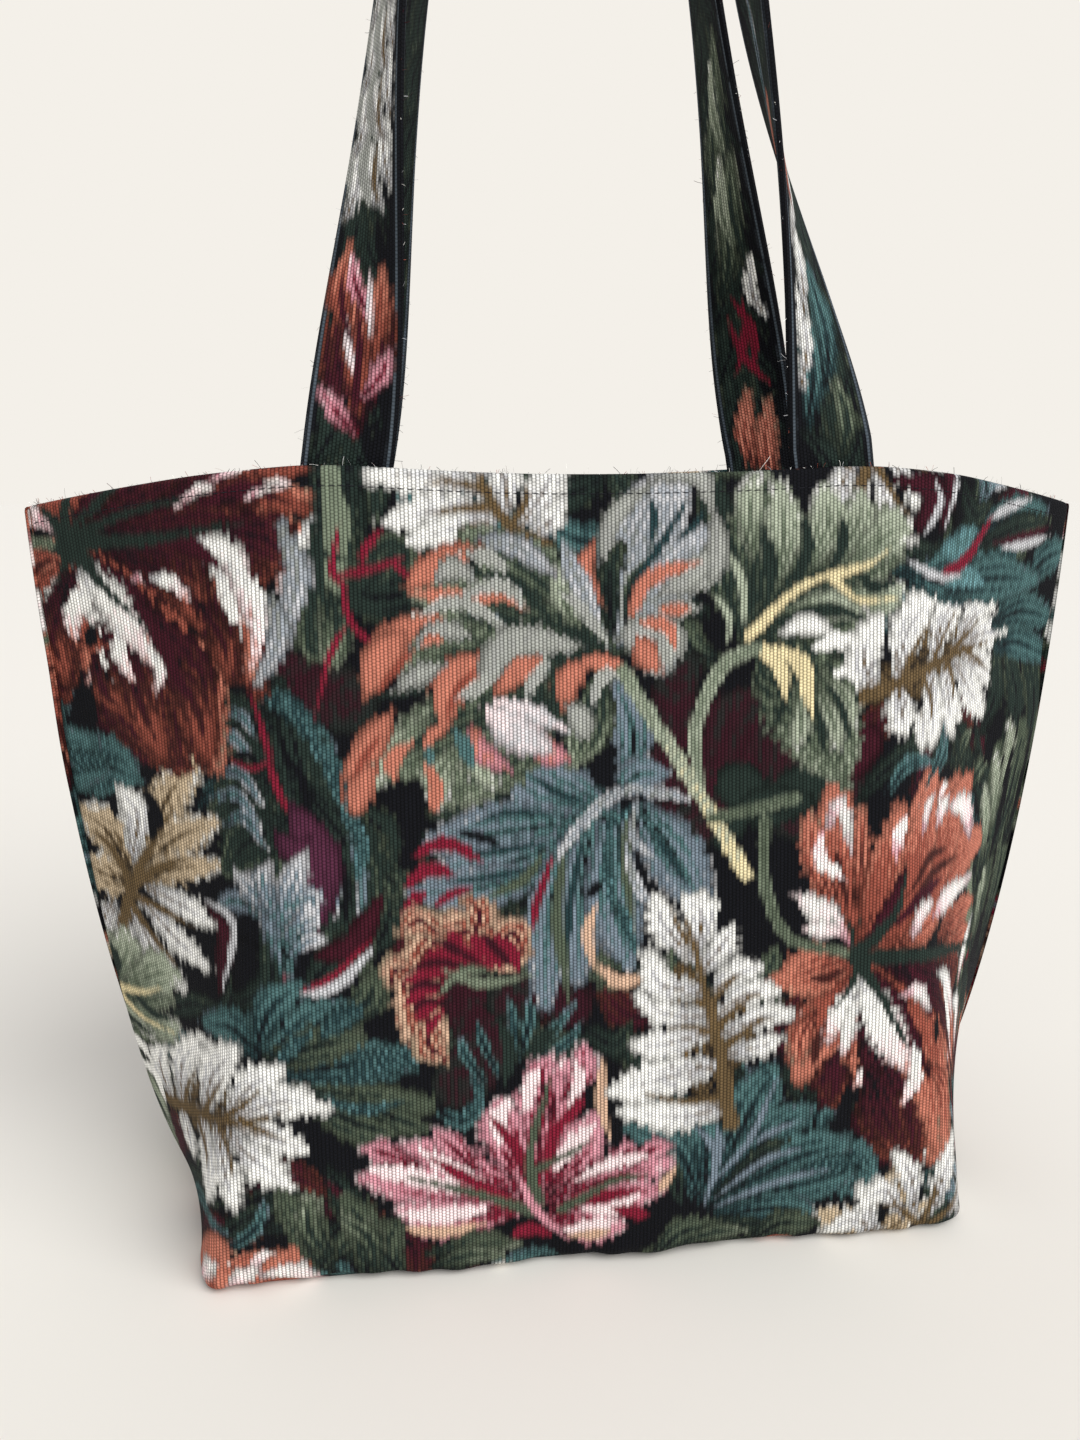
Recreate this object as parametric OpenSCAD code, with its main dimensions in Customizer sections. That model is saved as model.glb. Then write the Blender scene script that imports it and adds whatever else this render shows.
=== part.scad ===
// Soft tote of tapestry cloth: two boxed panels sewn at the sides and under the base,
// a lining in two halves, and two shoulder straps whose ends are caught under the rim.
// Sizes are in millimetres. The base stands on z = 0, the front faces -Y.

/* [Bag] */
// Width of the flat base between its boxed corners
base_w = 306; // [250:5:370]
// Depth of the flat base from front to back
base_d = 142; // [110:5:170]
// Height of the rim where the straps come out
bag_h = 306; // [250:2:370]
// Opening of the mouth from front to back
mouth_d = 90; // [64:2:110]
// How much lower the rim is at the side seams
seam_drop = 15; // [0:1:25]
// How much the rim dips midway between the straps
rim_dip = 3; // [0:0.5:8]
// Outward swell of the sides below half height
side_swell = 8; // [0:1:12]
// Outward swell of the front and back below half height
face_swell = 6; // [0:1:12]
// Radius of the upright edges at the base
base_edge_r = 10; // [6:1:20]
// Radius of the upright edges at the rim
rim_edge_r = 60; // [30:5:90]

/* [Cloth] */
// Thickness of the tapestry cloth with its backing
cloth_t = 1.8; // [1.2:0.1:2.4]
// Depth of the cloth turned in at the rim
hem_d = 12; // [8:1:20]
// Height over which the turned-in edge steps up
hem_step = 1.5; // [1:0.5:3]
// Thickness of the lining cloth
lining_t = 0.8; // [0.5:0.1:1.2]
// How far the top of the lining sits below the rim
lining_set = 1; // [0.5:0.5:3]

/* [Straps] */
// Width of a strap
strap_w = 32; // [24:1:40]
// Thickness of a strap, folded and pressed
strap_t = 2.6; // [1.6:0.1:3.4]
// Distance between the two ends of a strap, measured along the rim
leg_spacing = 178; // [140:2:214]
// Height of the top of a strap above the rim
strap_rise = 245; // [205:5:300]
// Radius of the arch at the top of a strap
arch_r = 58; // [45:1:70]
// Length of strap caught between panel and lining
strap_tuck = 26; // [18:1:35]
// Quarter turn that each leg makes between rim and arch
leg_twist = 90; // [60:5:90]
// How early a leg makes its turn: 1 is even, more is near the rim
twist_ease = 1.9; // [1:0.1:3]
// Length of a leg above the rim that is still flat
leg_flat = 8; // [6:1:20]
// Space between the two straps where they run side by side
strap_gap = 8; // [4:1:16]

/* [Fit] */
// Clearance between layers that are sewn together
layer_gap = 0.3; // [0.2:0.05:0.6]
// Rim left beside each strap end before it turns to the side seam
rim_margin = 20; // [16:1:30]
// Height over which the lining rises on to a strap end
lining_ramp = 20; // [14:1:30]

/* [Detail] */
// Columns of cloth facets across half of the flat face
face_cols = 10; // [8:1:14]
// Columns of cloth facets round an upright edge
bend_cols = 6; // [4:1:8]
// Columns of cloth facets from an upright edge to the side seam
flank_cols = 4; // [3:1:6]
// Rows of cloth facets up a panel
rows = 13; // [8:1:18]
// Rings along one leg of a strap
leg_rings = 18; // [12:1:24]
// Rings along half of a strap's arch
arch_rings = 12; // [8:1:16]

/* [Hidden] */

tapestry_colour = [0.36, 0.33, 0.32];
lining_colour = [0.16, 0.15, 0.17];
strap_colour = [0.40, 0.37, 0.35];

// Half of a panel's cut width: round the box it covers half the base and half a side
half_cut = (base_w + base_d) / 2 - (2 - PI / 2) * base_edge_r;
// The strap leg is a straight tangent to the arch
arch_up = strap_rise - strap_t / 2 - arch_r;
leg_reach = norm([leg_spacing / 2, arch_up]);
leg_len = sqrt(leg_reach * leg_reach - arch_r * arch_r);
arch_start = acos(arch_r / leg_reach) - atan2(arch_up, leg_spacing / 2);
leg_lean = arch_start;
// The rim stays straight across both strap ends, so that they lie flat on it
rim_straight = (leg_spacing + strap_w) / 2 + strap_tuck * tan(leg_lean) + rim_margin;
mouth_flank = half_cut - rim_straight;
mouth_half_w = rim_straight + sqrt(mouth_flank * mouth_flank - mouth_d * mouth_d / 4);
// Layers from the outer face inwards, at the rim
hem_t = 2 * cloth_t;
strap_seat = hem_t + layer_gap;
// Levels, as shares of the height, that follow the hem, the strap ends and the lining's rise
hem_row = 1 - hem_d / bag_h;
tuck_d = max(strap_tuck, hem_d) + hem_step;
lining_top = 1 - lining_set / bag_h;
lining_seat = lining_top - tuck_d / bag_h;
lining_rise = lining_seat - lining_ramp / bag_h;
wall_levels = [for (j = [0 : rows]) j / rows * lining_rise];
lining_floor = cloth_t + layer_gap;
half_cols = face_cols + bend_cols + flank_cols;
columns = 2 * half_cols;

function mix(from, to, share) = from + (to - from) * share;
function within(share) = max(0, min(1, share));
function swell(share) = let (s = pow(share, 0.6)) 4 * s * (1 - s);
function ease(share) = let (s = within(share)) s * s * (3 - 2 * s);

// Half depth, half width and upright edge radius of the bag, at a share of its height
function half_d(t) = mix(base_d, mouth_d, t) / 2 + face_swell * swell(t);
function half_w(t) = mix(base_w / 2, mouth_half_w, t) + side_swell * swell(t);
function edge_r(t) = mix(base_edge_r, rim_edge_r, t);

// Angle that the cloth turns at the upright edge, so that its length stays the cut width
function edge_turn(t, tries = 8, turn = 60) =
    tries == 0
        ? turn
        : edge_turn(t, tries - 1, 2 * atan2(
            half_cut + edge_r(t) * (2 * tan(turn / 2) - turn * PI / 180) - half_w(t),
            half_d(t)));

// One level of the wall: [turn, edge radius, straight face, flank to the side seam, half depth]
function level(t) =
    let (turn = edge_turn(t),
         r = edge_r(t),
         flank = (half_d(t) - r * (1 - cos(turn))) / sin(turn))
    [turn, r, half_cut - r * turn * PI / 180 - flank, flank, half_d(t)];

// Shares of the face, the upright edge and the flank that a column has passed
function passed(m) = [
    within(m / face_cols),
    within((m - face_cols) / bend_cols),
    within((m - face_cols - bend_cols) / flank_cols)];

// Place of a column on a level, moved inwards by a depth and mitred at the side seam
function place(lev, m, depth) =
    let (p = passed(m),
         bend = p[1] * lev[0],
         flank = p[2] * (lev[3] - depth * cos(lev[0]) / sin(lev[0])))
    [p[0] * lev[2] + (lev[1] - depth) * sin(bend) + flank * cos(lev[0]),
     m == half_cols ? 0 : lev[1] - (lev[1] - depth) * cos(bend) + flank * sin(lev[0]) - lev[4]];

// Distance of a column from the middle of the panel, along the cloth
function cloth_s(lev, m) = passed(m) * [lev[2], lev[1] * lev[0] * PI / 180, lev[3]];

// Height of the rim at a distance from the middle of the panel
function rim_h(s) =
    let (leg = leg_spacing / 2,
         past = max(0, s - leg - strap_w / 2) / (half_cut - leg - strap_w / 2))
    bag_h - (s < leg ? rim_dip * (1 - pow(s / leg, 2)) : 0) - seam_drop * pow(past, 1.3);

// Ring of a sheet: height share t, floor height for the lowest ring, depth for each column
function ring(t, floor_h, depths) =
    let (lev = level(t))
    [for (i = [0 : columns])
        let (m = abs(i - half_cols),
             p = place(lev, m, depths[i]))
        [sign(i - half_cols) * p[0], p[1], is_undef(floor_h) ? t * rim_h(cloth_s(lev, m)) : floor_h]];

function even_depth(d) = [for (i = [0 : columns]) d];

// Faces of a sheet that has an outer and an inner grid, a floor that fans out from the middle
// of the base seam, and two side seams
function sheet_faces(nr) =
    let (n = columns + 1,
         inner = n * nr,
         last = nr - 1,
         under = 2 * n * nr,
         above = under + 1)
    [for (j = [0 : last - 1], i = [0 : columns - 1], k = [0, 1])
        let (a = j * n + i, b = a + n)
        k == 0 ? [a, b, b + 1] : [a, b + 1, a + 1],
     for (j = [0 : last - 1], i = [0 : columns - 1], k = [0, 1])
        let (a = inner + j * n + i, b = a + n)
        k == 0 ? [a, b + 1, b] : [a, a + 1, b + 1],
     for (i = [0 : columns - 1], k = [0, 1])
        let (a = last * n + i, b = inner + a)
        k == 0 ? [a, b, b + 1] : [a, b + 1, a + 1],
     for (j = [0 : last - 1], k = [0, 1])
        let (a = j * n, b = inner + a)
        k == 0 ? [b, b + n, a + n] : [b, a + n, a],
     for (j = [0 : last - 1], k = [0, 1])
        let (a = j * n + columns, b = inner + a)
        k == 0 ? [a, a + n, b + n] : [a, b + n, b],
     for (i = [0 : columns - 1], k = [0, 1])
        k == 0 ? [i, i + 1, under] : [inner + i + 1, inner + i, above],
     [columns, inner + columns, above],
     [columns, above, under],
     [under, above, inner],
     [under, inner, 0]];

module sheet(outer, inner) {
    middle = [[0, 0, outer[0][0][2]], [0, 0, inner[0][0][2]]];
    polyhedron(
        points = concat([for (r = concat(outer, inner)) each r], middle),
        faces = sheet_faces(len(outer)));
}

// Front panel: face, half of each side and half of the base in one cloth, hemmed at the rim
module panel() {
    levels = concat(wall_levels, [hem_row, hem_row + hem_step / bag_h, 1]);
    sheet(
        [for (t = levels) ring(t, t == 0 ? 0 : undef, even_depth(0))],
        [for (t = levels) ring(t, t == 0 ? cloth_t : undef, even_depth(t > hem_row ? hem_t : cloth_t))]);
}

// Lift of the lining over the strap ends, at a distance from the middle of the panel
function strap_lift(dist) =
    let (column_w = rim_straight / face_cols,
         full = strap_w / 2 + strap_tuck * tan(leg_lean) + column_w)
    (strap_t + layer_gap) * (1 - ease((abs(dist - leg_spacing / 2) - full) / column_w));

// Lining of the front half: close to the panel, raised behind the hem and over the strap ends
module lining() {
    levels = concat(wall_levels, [mix(lining_rise, lining_seat, 0.5), lining_seat, lining_top]);
    depths = [for (t = levels)
        let (rise = ease((t - lining_rise) / (lining_seat - lining_rise)),
             lev = level(t))
        [for (i = [0 : columns])
            cloth_t + layer_gap + rise * (cloth_t + strap_lift(cloth_s(lev, abs(i - half_cols))))]];
    last = len(levels) - 1;
    sheet(
        [for (j = [0 : last]) ring(levels[j], j == 0 ? lining_floor : undef, depths[j])],
        [for (j = [0 : last])
            ring(levels[j], j == 0 ? lining_floor + lining_t : undef, [for (d = depths[j]) d + lining_t])]);
}

// Depth behind the middle plane of the strap's centre line, by its height above the rim
strap_y_rim = strap_seat + strap_t / 2 - mouth_d / 2;
strap_y_top = -(strap_w + strap_gap) / 2;

// Frame of a strap at a distance from the rim: [centre, direction, direction across in x and z]
// The sewn end is level across, and the leg above it is square to its own direction
function leg_frame(s) =
    let (out = s > 0 ? [cos(leg_lean), 0, sin(leg_lean)] : [1, 0, 0],
         up = [-sin(leg_lean), 0, cos(leg_lean)],
         z = bag_h + s * up[2],
         y = s < 0
             ? strap_seat + strap_t / 2 - half_d(z / bag_h)
             : mix(strap_y_rim, strap_y_top, ease(s / leg_len)))
    [[leg_spacing / 2 + s * up[0], y, z], up, out];

function arch_frame(share) =
    let (a = mix(arch_start, 90, share))
    [[arch_r * cos(a), strap_y_top, bag_h + arch_up + arch_r * sin(a)],
     [-sin(a), 0, cos(a)],
     [cos(a), 0, sin(a)]];

function twist_at(s) = leg_twist * (1 - pow(1 - within((s - leg_flat) / (leg_len - leg_flat)), twist_ease));

// Four corners of the strap's section
function strap_ring(frame, twist) =
    let (across = frame[2] * cos(twist) + [0, sin(twist), 0],
         through = cross(frame[1], across))
    [for (c = [[-1, -1], [1, -1], [1, 1], [-1, 1]])
        frame[0] + across * c[0] * strap_w / 2 + through * c[1] * strap_t / 2];

function mirrored(points) = [for (p = points) [-p[0], p[1], p[2]]];

// Front strap: right leg from its sewn end, over the arch, and down the left leg
module strap() {
    tuck = [strap_ring(leg_frame(-strap_tuck), 0), strap_ring(leg_frame(-strap_tuck / 2), 0)];
    leg = [for (i = [-1 : leg_rings])
        let (s = i < 0 ? 0 : mix(leg_flat, leg_len, i / leg_rings))
        strap_ring(leg_frame(s), twist_at(s))];
    arch = [for (i = [1 : arch_rings]) strap_ring(arch_frame(i / arch_rings), leg_twist)];
    half = concat(tuck, leg, arch);
    other = [for (i = [len(half) - 2 : -1 : 0]) mirrored(half[i])];
    rings = concat(half, other);
    last = len(rings) - 1;
    polyhedron(
        points = [for (r = rings) each r],
        faces = [
            [3, 2, 1, 0],
            [for (k = [0 : 3]) last * 4 + k],
            for (j = [0 : last - 1], k = [0 : 3], half_quad = [0, 1])
                let (a = j * 4 + k, b = j * 4 + (k + 1) % 4)
                half_quad == 0 ? [a, b, b + 4] : [a, b + 4, a + 4]]);
}

module front_panel() {
    color(tapestry_colour) panel();
}

module back_panel() {
    color(tapestry_colour) mirror([0, 1, 0]) panel();
}

module front_lining() {
    color(lining_colour) lining();
}

module back_lining() {
    color(lining_colour) mirror([0, 1, 0]) lining();
}

module front_strap() {
    color(strap_colour) strap();
}

module back_strap() {
    color(strap_colour) mirror([0, 1, 0]) strap();
}

front_panel();
back_panel();
front_lining();
back_lining();
front_strap();
back_strap();
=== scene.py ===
"""Tapestry tote bag: woven panels, linings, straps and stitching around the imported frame."""
import logging
import math
from collections.abc import Callable
from dataclasses import dataclass, field, replace
from enum import Enum
from functools import partial

import bpy
import numpy as np
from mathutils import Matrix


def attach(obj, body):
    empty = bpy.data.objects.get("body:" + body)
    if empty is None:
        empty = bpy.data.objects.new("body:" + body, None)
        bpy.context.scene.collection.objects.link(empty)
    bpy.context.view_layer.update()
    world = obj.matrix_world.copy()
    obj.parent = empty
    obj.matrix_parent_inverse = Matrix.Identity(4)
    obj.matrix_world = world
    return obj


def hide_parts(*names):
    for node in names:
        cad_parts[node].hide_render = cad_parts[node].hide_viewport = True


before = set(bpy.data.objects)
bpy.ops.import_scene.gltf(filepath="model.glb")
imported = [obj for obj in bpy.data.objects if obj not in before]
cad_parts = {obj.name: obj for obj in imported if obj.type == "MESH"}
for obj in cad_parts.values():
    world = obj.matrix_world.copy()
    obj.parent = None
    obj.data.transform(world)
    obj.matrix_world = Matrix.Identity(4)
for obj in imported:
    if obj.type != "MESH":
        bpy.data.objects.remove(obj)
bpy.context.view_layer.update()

LOG = logging.getLogger("tote")
MM = 0.001
Point = tuple[float, float]
Array = np.ndarray


# Yarns and the weaving card
class Yarn(Enum):
    """Dyed yarns of the cloth, as 8-bit sRGB."""

    NAVY = (12, 13, 18)
    PINE = (34, 46, 41)
    MOSS = (76, 86, 70)
    SAGE = (112, 122, 103)
    CELADON = (160, 168, 148)
    TEAL = (34, 56, 59)
    LAGOON = (74, 106, 106)
    AQUA = (116, 162, 168)
    STEEL = (112, 125, 136)
    MIST = (190, 190, 192)
    CREAM = (243, 242, 236)
    BUTTER = (224, 208, 163)
    BEIGE = (192, 172, 143)
    UMBER = (98, 80, 54)
    PEACH = (204, 168, 142)
    SALMON = (188, 116, 96)
    RUST = (142, 74, 60)
    BROWN = (66, 31, 28)
    WINE = (60, 18, 30)
    CRIMSON = (120, 26, 46)
    ROSE = (206, 142, 154)
    BLUSH = (244, 222, 222)
    PLUM = (76, 36, 56)


def linear(rgb: tuple[float, ...]) -> Array:
    """Linear light of 8-bit sRGB values."""
    share = np.asarray(rgb, float) / 255
    return np.where(share <= 0.04045, share / 12.92, ((share + 0.055) / 1.055) ** 2.4)


class Outline(Enum):
    """Outline of a stroke along its length."""

    LOBE = "narrow foot, broad middle, blunt tip"
    BLADE = "pointed at both ends"
    HORN = "broad foot, pointed tip"
    BAND = "even width"

    def half_width(self, share: Array) -> Array:
        """Half width at a share of the length, as a share of the stroke's width.

        Args:
            share: Place along the stroke, 0 at its foot and 1 at its tip.

        Returns:
            Half width at each place.
        """
        if self is Outline.LOBE:
            foot, broad_at, falls_from, fall = 0.35, 0.6, 0.55, 0.6
            rise = np.sin(np.pi / 2 * np.clip(share / broad_at, 0, 1)) ** 1.2
            drop = np.clip((share - falls_from) / (1 - falls_from), 0, 1) ** 1.6
            return foot + (1 - foot) * rise - fall * drop
        if self is Outline.BLADE:
            blunt = 0.02
            return np.sin(np.pi * np.clip(share, blunt, 1 - blunt)) ** 0.7
        if self is Outline.HORN:
            return np.clip(1.02 - share, 0, 1) ** 0.6
        return np.ones_like(share)


@dataclass(frozen=True)
class Shade:
    """How yarns follow each other over a stroke."""

    yarns: tuple[Yarn, ...]
    along: float = 1.0
    across: float = 0.0
    ribs: float = 0.0
    rib_pitch: float = 5.0
    dots: Yarn | None = None
    teeth: float = 0.0
    tooth_pitch: float = 6.0
    streaks: float = 0.0
    streak_pitch: float = 4.2


@dataclass(frozen=True)
class Stroke:
    """One stroke of the ornament, in cloth millimetres."""

    shade: Shade
    outline: Outline
    width: float
    path: tuple[Point, ...]


Motif = list[Stroke]


def smooth_line(points: tuple[Point, ...], count: int = 48) -> Array:
    """A smooth line through a few points.

    Args:
        points: Points that the line passes through.
        count: Number of points on the line.

    Returns:
        Points along the line.
    """
    p = np.asarray(points, float)
    ends = np.vstack([2 * p[0] - p[1], p, 2 * p[-1] - p[-2]])
    place = np.linspace(0, len(p) - 1 - 1e-9, count)
    i = place.astype(int)
    f = (place - i)[:, None]
    a, b, c, d = (ends[i + k] for k in range(4))
    bend = 2 * a - 5 * b + 4 * c - d
    return 0.5 * (2 * b + (c - a) * f + bend * f**2 + (3 * b - a - 3 * c + d) * f**3)


@dataclass
class Card:
    """Weave cells of one piece of cloth, each with the colour of its yarns, darkened inside broad strokes'
    edges partly as painted shade.
    """

    u: Array
    v: Array
    seed: int = 7
    run: int = 5
    run_share: float = 0.85
    comb_run: int = 9
    comb_depth: float = 2.6
    comb_shade: float = 0.12
    comb_from: float = 6.0
    tone_run: int = 7
    tone_low: float = 0.86
    tone_range: float = 0.28
    tooth_sweep: float = 0.8
    tooth_curve: float = 1.5
    hatch: float = 0.4
    dot_share: float = 0.7
    edge_blend: float = 1.0
    # Darkening inside stroke edges: partly woven dark outlines, partly painted shade of raised lobes
    outline_and_relief_shade: float = 0.6
    edge_depth: float = 3.0
    edged_from: float = 4.0
    thinnest: float = 0.1
    top_level: float = 0.9999
    tint: Array = field(init=False)

    def __post_init__(self) -> None:
        """Sets out the cells, the hatching thresholds and the comb of uneven picks."""
        rows, cols = len(self.v), len(self.u)
        self.tint = np.tile(linear(Yarn.NAVY.value), (rows, cols, 1))
        rng = np.random.default_rng(self.seed)
        runs = self.runs(rng, self.run)
        self.threshold = self.run_share * runs + (1 - self.run_share) * rng.random((rows, cols))
        self.comb = self.runs(rng, self.comb_run) - 0.5
        self.tone = self.tone_low + self.tone_range * self.runs(rng, self.tone_run)
        self.checks = (np.arange(rows)[:, None] + np.arange(cols)[None, :]) % 2 == 0

    def runs(self, rng: np.random.Generator, length: int) -> Array:
        """Random values that hold for a run of picks in one rib.

        Args:
            rng: Source of the values.
            length: Picks in a run.

        Returns:
            One value per cell.
        """
        rows, cols = len(self.v), len(self.u)
        values = rng.random((rows // length + 3, cols)).repeat(length, axis=0)
        start = rng.integers(0, length, cols)
        return values[np.arange(rows)[:, None] + start[None, :], np.arange(cols)[None, :]]

    def weave(self, stroke: Stroke, move: Point = (0.0, 0.0)) -> None:
        """Lays one stroke on the card.

        Args:
            stroke: Stroke to lay.
            move: Shift of the stroke on the cloth.
        """
        line = smooth_line(stroke.path) + np.asarray(move)
        reach = stroke.width + self.comb_depth
        c0, c1 = np.searchsorted(self.u, [line[:, 0].min() - reach, line[:, 0].max() + reach])
        r0, r1 = np.searchsorted(self.v, [line[:, 1].min() - reach, line[:, 1].max() + reach])
        if c0 == c1 or r0 == r1:
            return
        window = (slice(r0, r1), slice(c0, c1))
        shade = stroke.shade
        comb = self.comb[window]
        x, y = np.meshgrid(self.u[c0:c1], self.v[r0:r1])
        gap = (x[..., None] - line[:, 0]) ** 2 + (y[..., None] - line[:, 1]) ** 2
        nearest = gap.argmin(-1)
        away = np.sqrt(np.take_along_axis(gap, nearest[..., None], -1)[..., 0])
        share = nearest / (len(line) - 1)
        swept = share * np.hypot(*np.diff(line, axis=0).T).sum() - self.tooth_sweep * away
        edge = stroke.width * stroke.outline.half_width(share)
        edge = edge * (1 - shade.teeth * ((swept / shade.tooth_pitch) % 1) ** self.tooth_curve)
        frayed = edge + self.comb_depth * comb * np.minimum(stroke.width / self.comb_from, 1)
        cover = np.clip((frayed - away) / self.edge_blend + 0.5, 0, 1)[..., None]
        out = np.clip(away / np.maximum(edge, self.thinnest), 0, 1)
        rib = np.abs((swept / shade.rib_pitch) % 1 - 0.5) * 2 - 0.5
        streak = 0.5 - np.abs((out * stroke.width / shade.streak_pitch) % 1 - 0.5) * 2
        level = shade.along * share + shade.across * out
        level = level + shade.ribs * rib + shade.streaks * streak + self.comb_shade * comb
        colour = self.hatched(shade, np.clip(level, 0, self.top_level), window)
        # Darker band inside a broad stroke's edge: partly the woven dark outline, partly painted shade of
        # the raised lobe
        if stroke.width > self.edged_from:
            inner = np.clip((edge - away) / self.edge_depth, 0, 1)
            colour = colour * (1 - self.outline_and_relief_shade * (1 - inner[..., None]))
        patch = self.tint[window]
        patch += (colour - patch) * cover

    def hatched(self, shade: Shade, level: Array, window: tuple[slice, slice]) -> Array:
        """Colours of a shade, partly blended and partly hatched from yarn to yarn.

        Args:
            shade: Shade of the stroke.
            level: Place in the row of yarns, from 0 to just under 1.
            window: Rows and columns of the card that the level covers.

        Returns:
            Linear colour of each cell.
        """
        step = level * (len(shade.yarns) - 1)
        low = step.astype(int)
        part = step - low
        part = self.hatch * (part > self.threshold[window]) + (1 - self.hatch) * part
        yarns = np.array([linear(yarn.value) for yarn in (*shade.yarns, shade.yarns[-1])])
        colour = yarns[low] + (yarns[low + 1] - yarns[low]) * part[..., None]
        if shade.dots:
            dotted = self.dot_share * self.checks[window][..., None]
            colour = colour + (linear(shade.dots.value) - colour) * dotted
        return colour

    def colours(self) -> Array:
        """Linear colours, rows by columns by 3."""
        return self.tint * self.tone[..., None]


# Shades of the leaves, with short names for yarns and outlines
(NAVY, PINE, MOSS, SAGE, CELADON, TEAL, LAGOON, AQUA, STEEL, MIST, CREAM, BUTTER,
 BEIGE, UMBER, PEACH, SALMON, RUST, BROWN, WINE, CRIMSON, ROSE, BLUSH, PLUM) = Yarn
LOBE, BLADE, HORN, BAND = Outline
leafy = partial(Shade, across=0.35, ribs=0.1, teeth=0.2, tooth_pitch=7, streaks=0.4)
RUSTY = leafy((BROWN, RUST, RUST, SALMON, SALMON), along=0.75, across=0.25, rib_pitch=7, streaks=0.3,
    streak_pitch=4.8)
DUSKY = leafy((NAVY, WINE, BROWN, RUST), along=0.55, across=0.3, rib_pitch=6, tooth_pitch=6,
    streak_pitch=5)
EMBERY = leafy((SALMON, RUST, BROWN, WINE), along=0.9, across=0.1, rib_pitch=6, tooth_pitch=6,
    streaks=0.3, streak_pitch=5)
SALMONY = leafy((BROWN, RUST, SALMON, SALMON, PEACH), along=0.55, across=0.25, rib_pitch=6, teeth=0.25,
    tooth_pitch=6, streaks=0.5, streak_pitch=4)
FLAME = leafy((ROSE, BLUSH, CREAM, BLUSH), along=0.9, across=0.1, rib_pitch=4, teeth=0.3, tooth_pitch=5,
    streaks=0.3, streak_pitch=3)
GHOST = leafy((MIST, CREAM, CREAM, BLUSH, SALMON), along=0.85, across=0.1, rib_pitch=4, teeth=0.3,
    tooth_pitch=5, streaks=0.3, streak_pitch=3)
ROSY = leafy((WINE, CRIMSON, ROSE, ROSE, BLUSH), along=0.55, rib_pitch=6, teeth=0.25, tooth_pitch=6,
    streaks=0.45, streak_pitch=4.4)
CREAMY = leafy((UMBER, MIST, CREAM, CREAM, CREAM), along=0.5, across=0.4, teeth=0.35, tooth_pitch=6,
    streaks=0.35)
BEIGY = leafy((NAVY, UMBER, BEIGE, BEIGE, CREAM), along=0.55, across=0.5, teeth=0.35, tooth_pitch=6,
    streaks=0.35)
SAGEY = leafy((PINE, PINE, MOSS, SAGE, CELADON), along=0.55, rib_pitch=6, streaks=0.45, streak_pitch=4.6)
PALE_SAGE = leafy((MOSS, SAGE, CELADON, CELADON, CREAM), along=0.65, across=0.25, rib_pitch=6)
TEALY = leafy((NAVY, TEAL, LAGOON, LAGOON, STEEL), along=0.45, streak_pitch=5.4)
HEARTY = leafy((NAVY, UMBER, UMBER), along=0.3, across=0.5, tooth_pitch=6, streaks=0.6, streak_pitch=4)
# Darker rust yarns of the upper left leaf: painted shade of that corner
SHADED_RUSTY = leafy((NAVY, WINE, BROWN, RUST, RUST), along=0.7, rib_pitch=7, streaks=0.3, streak_pitch=5)
STEELY = leafy((NAVY, LAGOON, STEEL, STEEL, MIST), along=0.45, across=0.45, rib_pitch=6, streaks=0.45,
    streak_pitch=5.2)
RIBBED = Shade((TEAL, LAGOON, AQUA), along=0.0, across=0.2, ribs=1.2, rib_pitch=3.2)
PINY = leafy((NAVY, PINE, PINE, MOSS, SAGE), along=0.4, streak_pitch=5.4)
MOSSY = leafy((NAVY, PINE, MOSS, MOSS, SAGE), along=0.45, streak_pitch=5)
DOTTY = Shade((PINE, MOSS, STEEL), along=0.4, across=0.3, ribs=0.2, dots=CREAM)
LILAC = leafy((MOSS, STEEL, MIST, MIST), along=0.5, across=0.2, ribs=0.2, rib_pitch=6, dots=MIST,
    teeth=0.15, tooth_pitch=8, streaks=0.5, streak_pitch=4)
BLUSHY = leafy((BLUSH, MIST, BLUSH), along=0.6, across=0.2, ribs=0.2, rib_pitch=4, tooth_pitch=5,
    streaks=0.5, streak_pitch=3)
PEACHY = leafy((WINE, RUST, PEACH, PEACH, BEIGE), along=0.1, across=0.7, ribs=0.2, tooth_pitch=6,
    streaks=0.5, streak_pitch=4)
EMBER = Shade((WINE, PINE), along=0.4, across=0.3, ribs=0.5, rib_pitch=9, dots=NAVY)
FROSTY = leafy((LAGOON, STEEL, MIST, MIST), along=0.7, across=0.2, rib_pitch=4, tooth_pitch=5,
    streaks=0.5, streak_pitch=4)
CORAL = Shade((SALMON, ROSE), along=0.6, across=0.4, ribs=0.2, rib_pitch=4)
PALE_STEM = Shade((SAGE, CELADON), along=0.2, across=0.5, ribs=0.4, rib_pitch=4)
GOLDEN_STEM = Shade((SAGE, CELADON, BUTTER), along=0.9, across=0.1, ribs=0.4, rib_pitch=4)
DARK_STEM = Shade((MOSS, SAGE), along=0.2, across=0.5, ribs=0.4, rib_pitch=4)
PALE_TEETH = Shade((BLUSH,), teeth=0.35, tooth_pitch=4)
RIPPLED = Shade((LAGOON, AQUA), along=0.2, across=0.4, ribs=0.6, rib_pitch=3)
EDGE_DOTS = Shade((NAVY,), dots=STEEL)


# Drawing of leaves
def leaf(*parts: tuple) -> Motif:
    """Strokes of a leaf, in the order in which they are laid.

    Args:
        parts: For each part its shade or its one yarn, its outline, and rows of a width and its points.

    Returns:
        The strokes.
    """
    motif = []
    for shade, outline, *rows in parts:
        shade = shade if isinstance(shade, Shade) else Shade((shade,))
        motif += [Stroke(shade, outline, row[0], tuple(zip(row[1::2], row[2::2]))) for row in rows]
    return motif


def redrawn(motif: Motif, place: Callable[[float, float], Point], swell: float = 1.0) -> Motif:
    """Strokes with each point put elsewhere and each width scaled."""
    return [replace(s, width=s.width * swell, path=tuple(place(*p) for p in s.path)) for s in motif]


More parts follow.
